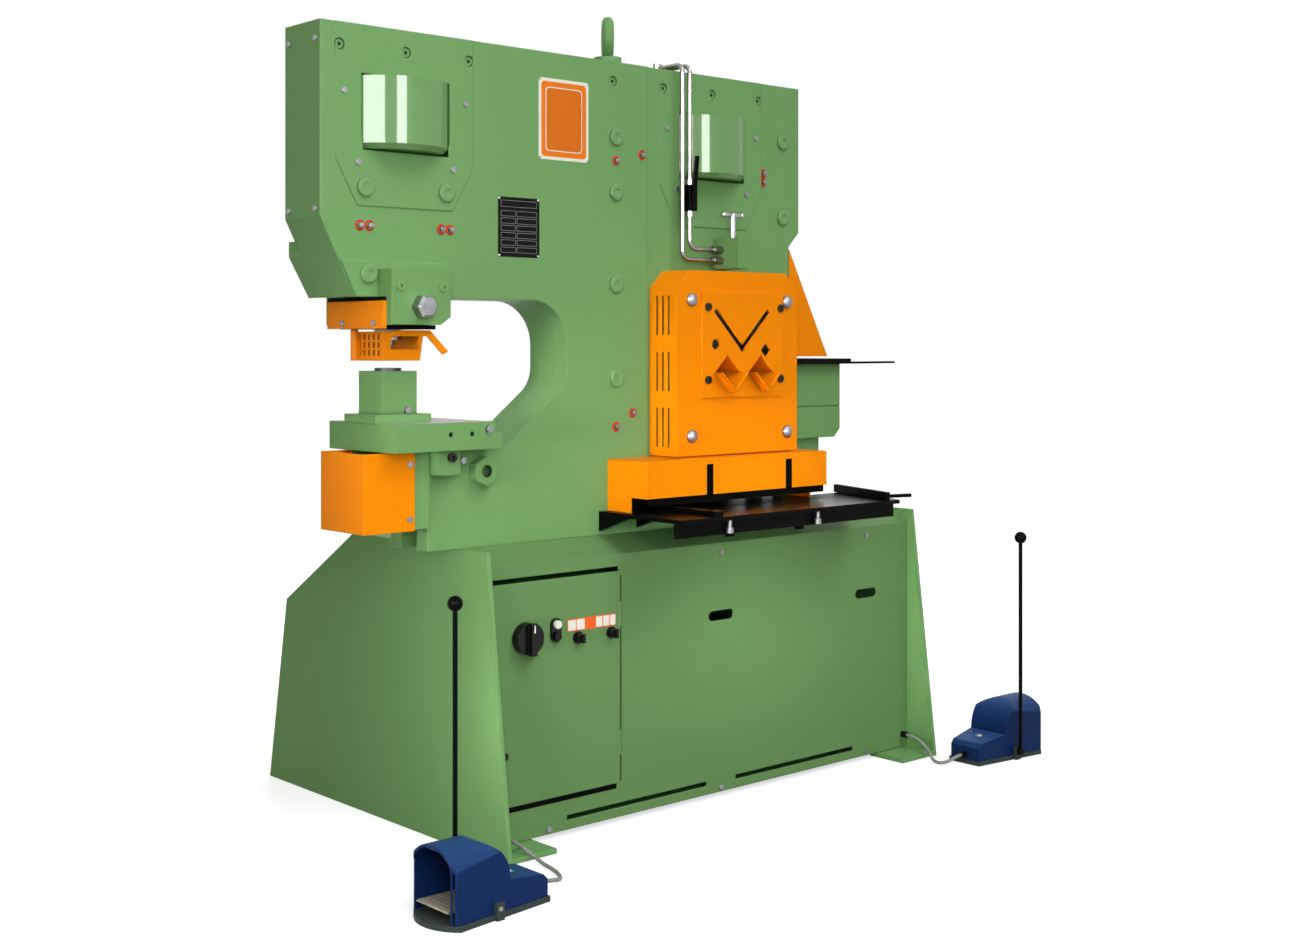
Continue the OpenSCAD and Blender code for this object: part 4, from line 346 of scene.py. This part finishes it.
dress(stove_black("black_enamel"), "stripper_plate", "ball_valve", "valve_lever", "left_hand_lever",
      "right_hand_lever")
dress(stove_black("table_black", Coat_Roughness=0.24, wet=polish), "shear_table", "notcher_table")


# Hydraulic power unit: tank, pump motor and filler, hidden inside the base and brushed with a grey
# primer.
dress(paint("grey_primer", linear(96, 100, 102), 0.5), "power_unit")


# Cabinet: a welded box behind the panel, its gear plate, and a hinged door in the machine's green
# that carries moulded black switches and one white button.
def moulded(name, colour, roughness, grain=0.00008, gloss=0.4, top_highlight=None, shade_reach=None):
    """Moulded plastic, rubber or print: clouded, finely grained, with a paler painted highlight along its
    edges. The upper-face colour is a painted highlight laid on faces that point up, and the reach is how
    far painted shade darkens recesses."""
    finish = Finish(name, IOR=1.5, Specular_IOR_Level=gloss)
    cloud = finish.noise(scale=9.0, detail=3.0)
    spark = finish.noise(scale=700.0, detail=2.0)
    rounded = finish.rounded(radius=0.002)
    rim = finish.ramp(finish.edges(rounded), low=0.03, high=0.35)
    dull, fresh, recess_shade = (shade(colour, share) for share in (0.86, 1.10, 0.12))
    body = finish.blend(cloud, dull, fresh)
    # Painted highlight along the edges.
    body = finish.blend(rim * 0.40, body, shade(colour, share=1.8, lift=0.012))
    # Painted highlight on faces that point up.
    if top_highlight:
        body = finish.blend(finish.ramp(finish.facing("Z"), low=0.35, high=0.95), body, top_highlight)
    # Painted shade in the recesses.
    if shade_reach:
        body = finish.blend(finish.hollow_shade(shade_reach) * 0.8, body, recess_shade)
    return finish.wear(Base_Color=body, Roughness=roughness + 0.10 * cloud,
                       Normal=finish.bump(spark, grain, rounded))


dress(panel, "control_box", "control_door")
dress(moulded("black_moulding", linear(9, 9, 10), 0.16, grain=0.00002, gloss=0.22), "door_fittings",
      "main_switch", "stop_button", "selector_left", "selector_right", "cable_glands")
dress(moulded("white_moulding", linear(240, 240, 236), 0.25), "start_button")
dress(moulded("grey_moulding", linear(150, 146, 138), 0.5), "control_gear")


# Door trim: one printed strip over the selectors, an orange backing with five blank white fields, a
# white pointer let into the rotary switch's grip, and thin black strips of painted shade beside and below
# the door, in its shadow gaps.
CREASE = 0.55


def upright(bm, left, right, low, high, face, thick, corner, index=0):
    """A thin sheet standing on the plane Y = face, its four corners rounded."""
    verts = bmesh.ops.create_cube(bm, size=1)["verts"]
    bmesh.ops.scale(bm, verts=verts, vec=(right - left, thick, high - low))
    bmesh.ops.translate(bm, verts=verts, vec=((left + right) / 2, face - thick / 2, (low + high) / 2))
    known = set(bm.faces) - {f for v in verts for f in v.link_faces}
    across = {e for v in verts for e in v.link_edges
              if abs(e.verts[0].co.y - e.verts[1].co.y) > thick / 2}
    bmesh.ops.bevel(bm, geom=list(across), offset=corner, offset_type="OFFSET", affect="EDGES", segments=5,
                    profile=0.5, material=-1)
    made = [f for f in bm.faces if f not in known]
    for f in made:
        f.material_index = index
    return min(made, key=lambda f: (round(f.calc_center_median().y, 6), -f.calc_area()))


def fit(name, bm, finishes, body):
    """Closes a piece: soft faces, hard corners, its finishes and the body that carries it."""
    for f in bm.faces:
        f.smooth = True
    for e in bm.edges:
        e.smooth = e.calc_face_angle(0) < CREASE
    mesh = bpy.data.meshes.new(name)
    bm.to_mesh(mesh)
    bm.free()
    for finish in finishes:
        mesh.materials.append(finish)
    piece = bpy.data.objects.new(name, mesh)
    scene.collection.objects.link(piece)
    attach(piece, body)


DOOR_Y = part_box("door_fittings")[1].y
LABEL = (-0.520, -0.366, 0.490, 0.520)
LABEL_THICK, PRINT_THICK, PRINT_MARGIN = 0.0006, 0.0004, 0.0025
PRINTS = ((-0.518, -0.494), (-0.491, -0.466), (-0.430, -0.410), (-0.407, -0.388), (-0.385, -0.368))
backing = moulded("label_orange", linear(255, 96, 20), 0.35)
white_print = moulded("label_white", linear(244, 242, 240), 0.35)
bm = bmesh.new()
upright(bm, *LABEL, DOOR_Y, LABEL_THICK, corner=0.003)
print_low, print_high = LABEL[2] + PRINT_MARGIN, LABEL[3] - PRINT_MARGIN
for left, right in PRINTS:
    upright(bm, left, right, print_low, print_high, DOOR_Y - LABEL_THICK, PRINT_THICK, corner=0.002, index=1)
fit("selector_labels", bm, [backing, white_print], "door_body")

PANEL_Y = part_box("front_panel")[0].y
# Painted shade: thin black strips laid in the shadow gaps round the door.
SHADE_STRIP_THICK = 0.0012
DOOR_SHADE_STRIPS = ((-0.747, -0.362, 0.0865, 0.0985, 0.0015), (-0.7535, -0.7495, 0.300, 0.612, 0.0012),
         (-0.3484, -0.3464, 0.104, 0.612, 0.0008))
rubber_and_shade = moulded("black_rubber_and_shade", linear(7, 7, 6), 0.6, grain=0.0002, gloss=0.02)
bm = bmesh.new()
for left, right, low, high, corner in DOOR_SHADE_STRIPS:
    upright(bm, left, right, low, high, PANEL_Y, SHADE_STRIP_THICK, corner)
fit("door_shade_strips", bm, [rubber_and_shade], "machine")

SWITCH_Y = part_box("main_switch")[0].y
POINTER = (-0.6525, -0.6495, 0.508, 0.526)
bm = bmesh.new()
upright(bm, *POINTER, SWITCH_Y, LABEL_THICK, corner=0.001)
fit("switch_pointer", bm, [white_print], "main_switch_body")


# Black strips: a black rubber apron clamped behind the flat shear's guard, which hangs to just above the
# table and keeps slivers in, and a black strip of painted shade laid along the top of the ram's cover, in
# the shadowed gap under the head.
APRON_LOW, APRON_INSET, APRON_BEHIND = 0.7815, 0.007, 0.008
bm = bmesh.new()
upright(bm, guard_low.x + APRON_INSET, guard_high.x - APRON_INSET, APRON_LOW, guard_high.z - APRON_INSET,
        guard_low.y + APRON_BEHIND, thick=0.003, corner=0.002)
fit("shear_apron", bm, [rubber_and_shade], "machine")

# Painted shade: a black strip filling the shadowed gap between the ram's cover and the head.
STRIP_SET, STRIP_H, STRIP_END = 0.0015, 0.009, 0.0005
cover_low, cover_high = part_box("ram_cover")
strip_run = cover_high.y - cover_low.y - 2 * STRIP_END
bm = bmesh.new()
upright(bm, cover_low.x + STRIP_SET, cover_high.x, cover_high.z, cover_high.z + STRIP_H,
        cover_high.y - STRIP_END, strip_run, corner=0.0015)
fit("ram_shade_strip", bm, [rubber_and_shade], "machine")


# Plaque and data plate: two thin printed plates on the frame's front face, the plaque orange inside a
# white border, the data plate black with blank ruled fields, each held by four rivets.
def turned(bm, profile, place, index=0, steps=24):
    """Lathe work: (radius, stand-off) pairs spun round an axis along Y through place."""
    before = set(bm.faces)
    x, y, z = place
    verts = [bm.verts.new((x + radius, y - off, z)) for radius, off in profile]
    edges = [bm.edges.new(pair) for pair in zip(verts, verts[1:])]
    bmesh.ops.spin(bm, geom=verts + edges, cent=place, axis=(0, 1, 0), angle=math.tau, steps=steps,
                   use_merge=True, use_duplicate=False)
    made = [f for f in bm.faces if f not in before]
    bmesh.ops.remove_doubles(bm, verts=list({v for f in made for v in f.verts}), dist=1e-6)
    made = [f for f in bm.faces if f not in before]
    bmesh.ops.recalc_face_normals(bm, faces=made)
    for f in made:
        f.material_index = index


FRONT_Y = guard_high.y
PLATE_THICK, PRINT_EDGE = 0.0012, 0.008
RIVET = ((0.0, 0.0), (0.0032, 0.0), (0.0032, 0.0006), (0.0026, 0.0014), (0.0014, 0.0019), (0.0, 0.0020))


def printed(name, colour, roughness, edge, gloss):
    return paint(name, colour, roughness, peel=0.00002, edge=edge, gloss=gloss)


def rivets(bm, left, right, low, high, inset):
    """One rivet through each corner of a plate, in the plate's third finish."""
    for x in (left + inset, right - inset):
        for z in (low + inset, high - inset):
            turned(bm, RIVET, (x, FRONT_Y - PLATE_THICK, z), index=2, steps=12)


PLAQUE = (-0.533, -0.375, 1.636, 1.836)
LAYERS = ((0.0, PLATE_THICK, 0), (PRINT_EDGE, 0.0003, 1), (0.021, 0.0002, 0), (0.0235, 0.0002, 1))
plaque_orange = printed("plaque_print", linear(236, 122, 30), 0.30, edge=0.001, gloss=0.15)
plaque_white = printed("plaque_border", linear(232, 232, 226), 0.30, edge=0.001, gloss=0.15)
bm = bmesh.new()
stand = FRONT_Y
left, right, low, high = PLAQUE
for border, thick, index in LAYERS:
    upright(bm, left + border, right - border, low + border, high - border, stand, thick, corner=0.010,
            index=index)
    stand -= thick
rivets(bm, *PLAQUE, inset=0.004)
fit("blank_plaque", bm, [plaque_white, plaque_orange, bright], "machine")

DATA_PLATE = (-0.656, -0.531, 1.393, 1.537)
COLUMN_X, COLUMN_GAP = -0.602, 0.004
ROWS, ROW_PITCH, ROW_H, ROWS_FROM, TITLE_H = 6, 0.0175, 0.0135, 0.010, 0.016
plate_black = printed("plate_anodised", linear(14, 14, 16), 0.40, edge=0.0006, gloss=0.08)
plate_rule = printed("plate_rule", linear(150, 152, 150), 0.40, edge=0.0006, gloss=0.1)
bm = bmesh.new()
left, right, low, high = DATA_PLATE
upright(bm, *DATA_PLATE, FRONT_Y, PLATE_THICK, corner=0.003)
left, right, high = left + PRINT_EDGE, right - PRINT_EDGE, high - PRINT_EDGE
fields = [(left, right, high - TITLE_H, high)]
for row in range(ROWS):
    row_low = low + ROWS_FROM + ROW_PITCH * row
    fields += [(left, COLUMN_X - COLUMN_GAP / 2, row_low, row_low + ROW_H),
               (COLUMN_X + COLUMN_GAP / 2, right, row_low, row_low + ROW_H)]
for edges in fields:
    field = upright(bm, *edges, FRONT_Y - PLATE_THICK, thick=0.0002, corner=0.001, index=1)
    bmesh.ops.inset_region(bm, faces=[field], thickness=0.0008, depth=0.0, use_even_offset=True)
    field.material_index = 0
rivets(bm, *DATA_PLATE, inset=0.0035)
fit("data_plate", bm, [plate_black, plate_rule, bright], "machine")


# Grease points: each nipple on the frame's face sits inside a moulded red ring that marks it for the
# oiler and is pressed over its shoulder.
RING = ((0.0084, 0.0), (0.0084, 0.0016), (0.0092, 0.0024), (0.0112, 0.0024), (0.0123, 0.0014),
        (0.0123, 0.0), (0.0084, 0.0))
SHEAR_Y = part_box("section_guard")[1].y
GREASE_POINTS = ((-1.0405, FRONT_Y, 1.450), (-1.0155, FRONT_Y, 1.450), (-0.8205, FRONT_Y, 1.450),
                 (-0.7955, FRONT_Y, 1.450), (-0.283, FRONT_Y, 1.649), (-0.195, FRONT_Y, 1.670),
                 (0.258, SHEAR_Y, 1.628), (0.258, SHEAR_Y, 1.653), (-0.227, FRONT_Y, 1.007),
                 (-0.283, FRONT_Y, 0.973))
red = moulded("marker_red", linear(226, 26, 10), 0.35, gloss=0.1)
bm = bmesh.new()
for place in GREASE_POINTS:
    turned(bm, RING, place, steps=28)
fit("grease_rings", bm, [red], "machine")


# Foot pedals: blue moulded hoods, paler on top from a painted highlight and darker inside from painted
# shade, each closed by one steel lid screw, on dark moulded base plates, with pale ribbed treadles.
# The paler upper colour is a painted highlight on the hood tops, and the reach gives painted shade inside
# the hoods.
dress(moulded("blue_moulding", linear(13, 42, 94), 0.36, grain=0.00012, gloss=0.07,
              top_highlight=linear(34, 68, 122), shade_reach=0.25), "pedal_housings")
dress(moulded("base_moulding", linear(50, 60, 62), 0.55, grain=0.00012, gloss=0.15), "pedal_bases")
tread = Finish("treadle_moulding", IOR=1.5, Specular_IOR_Level=0.25)
ribs = tread.node("ShaderNodeTexWave", {"bands_direction": "X", "wave_profile": "SIN"},
                  {"Vector": tread.place, "Scale": 25.0, "Distortion": 0.0})
scuffs = tread.noise(scale=40.0, detail=4.0)
dress(tread.wear(Base_Color=tread.blend(scuffs, linear(132, 126, 116), linear(176, 170, 160)),
                 Roughness=0.5 + 0.2 * scuffs, Normal=tread.bump(ribs, 0.0008, tread.rounded(0.0015))),
      "left_treadle", "right_treadle")
LID_SCREW = ((0.0, 0.0), (0.0105, 0.0), (0.0105, 0.0012), (0.0086, 0.0022), (0.0070, 0.0014),
             (0.0062, 0.0030), (0.0040, 0.0038), (0.0, 0.0040))
LID_LEAN, LID_Z = 0.144, 0.0676
bm = bmesh.new()
for x, y, lean in ((-0.915, -0.735, LID_LEAN), (0.825, -0.648, -LID_LEAN)):
    known = set(bm.verts)
    turned(bm, LID_SCREW, (0, 0, 0))
    verts = [v for v in bm.verts if v not in known]
    upward = Vector((0, -1, 0)).rotation_difference(Vector((lean, 0, 1)))
    bmesh.ops.rotate(bm, verts=verts, cent=(0, 0, 0), matrix=upward.to_matrix())
    bmesh.ops.translate(bm, verts=verts, vec=(x, y, LID_Z))
fit("pedal_lid_screws", bm, [bright], "machine")


# Pedal cords: round grey sheathed cables that leave a gland low in the front panel, sag to the floor
# and run into the rear of each pedal.
CORD_D = 0.009
sheath = Finish("cord_sheath", IOR=1.5, Specular_IOR_Level=0.3)
scuff = sheath.noise(scale=90.0, detail=3.0)
sheath.wear(Base_Color=sheath.blend(scuff, linear(118, 122, 120), linear(160, 164, 160)),
            Roughness=0.45 + 0.2 * scuff, Normal=sheath.bump(scuff, 0.0002))
ROUTES_MM = {
    "left_pedal_cord": (
        (-715, -459, 36), (-715, -469, 36), (-715, -483, 35), (-714, -500, 32), (-712, -520, 27),
        (-710, -540, 21), (-708, -560, 14), (-708, -580, 8), (-709, -600, 5), (-712, -620, 5),
        (-717, -640, 5), (-724, -660, 5), (-733, -680, 6), (-745, -698, 8), (-760, -714, 12),
        (-778, -726, 17), (-800, -733, 22), (-820, -735, 25), (-830, -735, 25)),
    "right_pedal_cord": (
        (735, -459, 50), (735, -469, 50), (735, -483, 49), (733, -500, 45), (729, -520, 38),
        (722, -540, 29), (712, -558, 20), (701, -576, 12), (692, -592, 7), (688, -608, 5),
        (690.5, -623, 7), (698, -635, 11.5), (710, -643.5, 18.5), (721, -647, 22.8),
        (730.5, -648, 25), (740, -648, 25)),
}
for node, route in ROUTES_MM.items():
    metres = [Vector(c / 1000 for c in place) for place in route]
    line = bpy.data.curves.new(node + "_sheath", "CURVE")
    line.dimensions = "3D"
    line.bevel_depth = CORD_D / 2
    line.bevel_resolution = 5
    spline = line.splines.new("NURBS")
    spline.points.add(len(route) - 1)
    spline.order_u, spline.use_endpoint_u, spline.resolution_u = 4, True, 6
    for point, place in zip(spline.points, metres):
        point.co = (*place, 1)
    line.materials.append(sheath.material)
    piece = bpy.data.objects.new(node + "_sheath", line)
    scene.collection.objects.link(piece)
    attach(piece, "machine")
    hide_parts(node)


# Stage: a pale matt floor that keeps the shadow, in a plain white room. Both look brighter to the camera
# and in reflections than the light that they throw on the press.
FLOOR_HALF, FLOOR_DROP = 40, 0.001
ROOM_LIT, ROOM_SEEN = (0.39, 0.38, 0.24), (1, 1, 1)
FLOOR_LIT, FLOOR_SEEN = (0.22, 0.22, 0.17), (0.56, 0.56, 0.62)
GLOW_LIT, GLOW_SEEN = (0, 0, 0), (0.66, 0.66, 0.68)


def white_when_seen(nodes, lit, seen):
    rays = [nodes.node("ShaderNodeLightPath", give=ray)
            for ray in ("Is Camera Ray", "Is Glossy Ray", "Is Transmission Ray")]
    return nodes.blend(rays[0] | rays[1] | rays[2], lit, seen)


world = bpy.data.worlds.new("white_room")
scene.world = world
world.use_nodes = True
room = Nodes(world.node_tree)
room.give(world.node_tree.nodes["Background"], "Color", white_when_seen(room, ROOM_LIT, ROOM_SEEN))

floor_finish = Finish("studio_floor", Roughness=1.0, Specular_IOR_Level=0.0, Emission_Strength=1.0)
floor_finish.wear(Base_Color=white_when_seen(floor_finish, FLOOR_LIT, FLOOR_SEEN),
                  Emission_Color=white_when_seen(floor_finish, GLOW_LIT, GLOW_SEEN))
bm = bmesh.new()
bmesh.ops.create_grid(bm, x_segments=1, y_segments=1, size=FLOOR_HALF)
bmesh.ops.translate(bm, verts=bm.verts, vec=(0, 0, -FLOOR_DROP))
floor_mesh = bpy.data.meshes.new("studio_floor")
bm.to_mesh(floor_mesh)
bm.free()
floor_mesh.materials.append(floor_finish.material)
floor = bpy.data.objects.new("studio_floor", floor_mesh)
scene.collection.objects.link(floor)


# Lamps: a high soft key, a broad fill from the front left, four narrow low ones for the left sides and
# the panel under the table, a wide one behind, and two soft boxes that only show as streaks in glossy
# paint.
def lamp(name, kind, energy, tint, back, place=(0, 0, 0)):
    light = bpy.data.lights.new(name, kind)
    light.energy, light.color = energy, tint
    holder = bpy.data.objects.new(name, light)
    holder.location = place
    holder.rotation_mode = "QUATERNION"
    holder.rotation_quaternion = Vector(back).to_track_quat("Z", "Y")
    holder.visible_camera = False
    scene.collection.objects.link(holder)
    return light, holder


def aimed(name, energy, tint, place, target, size, spread):
    """A square lamp at place that looks at target and opens by spread degrees."""
    light, holder = lamp(name, "AREA", energy, tint, Vector(place) - Vector(target), place)
    light.size, light.spread = size, math.radians(spread)
    holder.visible_glossy = False


key_turn, key_height = math.radians(6), math.radians(50)
key, _ = lamp("key", "SUN", 1.38, (1.0, 1.0, 1.0),
              (math.sin(key_turn) * math.cos(key_height), -math.cos(key_turn) * math.cos(key_height),
               math.sin(key_height)))
key.angle = math.radians(30)
aimed("fill", 54, (1.0, 1.0, 1.0), (-2.3, -3.2, 1.7), (-0.5, -0.3, 1.1), 1.6, 180)
aimed("guard_side", 0.72, (1.0, 0.96, 0.80), (-3.2, -0.95, 1.0), (-0.2, -0.42, 1.05), 0.5, 16)
aimed("flange_side", 0.32, (1.0, 0.97, 0.84), (-3.2, -0.90, 0.35), (0.757, -0.50, 0.35), 0.3, 10)
aimed("panel_top", 0.42, (1.0, 1.0, 0.94), (-0.5, -3.3, 0.55), (0.1, -0.44, 0.64), 0.4, 18)
aimed("base_side", 1.1, (1.0, 0.97, 0.84), (-3.2, -1.25, 0.4), (-0.77, -0.60, 0.38), 0.5, 30)
aimed("back_fill", 150, (1.0, 1.0, 0.96), (2.4, 4.6, 3.0), (0.0, 0.0, 0.9), 2.4, 180)

BOX_DISTANCE, BOX_Z, BOX_H = 5, 2.3, 1.6
barrel_low, barrel_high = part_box("punch_cylinder")
above_barrel = Vector(((barrel_low.x + barrel_high.x) / 2, (barrel_low.y + barrel_high.y) / 2, BOX_Z))
for name, azimuth, width, energy in (("left_box", -62.75, 4.54, 560), ("right_box", -6.5, 1.65, 210)):
    turn = math.radians(azimuth)
    away = Vector((math.sin(turn), -math.cos(turn), 0))
    box, holder = lamp(name, "AREA", energy, (1, 1, 1), away, above_barrel + BOX_DISTANCE * away)
    box.shape, box.size, box.size_y = "RECTANGLE", width, BOX_H
    holder.visible_diffuse = False


# Camera: level and to the front left of the press, as the photograph was taken. The lens is shifted
# down, so that upright edges stay upright.
HEADING = 48.0793
lens = bpy.data.cameras.new("camera")
lens.sensor_width, lens.lens, lens.shift_y = 36, 46.54, -0.0998
camera = bpy.data.objects.new("camera", lens)
camera.location = (-3.071, -3.581, 1.186)
camera.rotation_euler = (math.radians(90), 0, math.radians(HEADING - 90))
scene.collection.objects.link(camera)
scene.camera = camera
scene.view_settings.view_transform = "Standard"
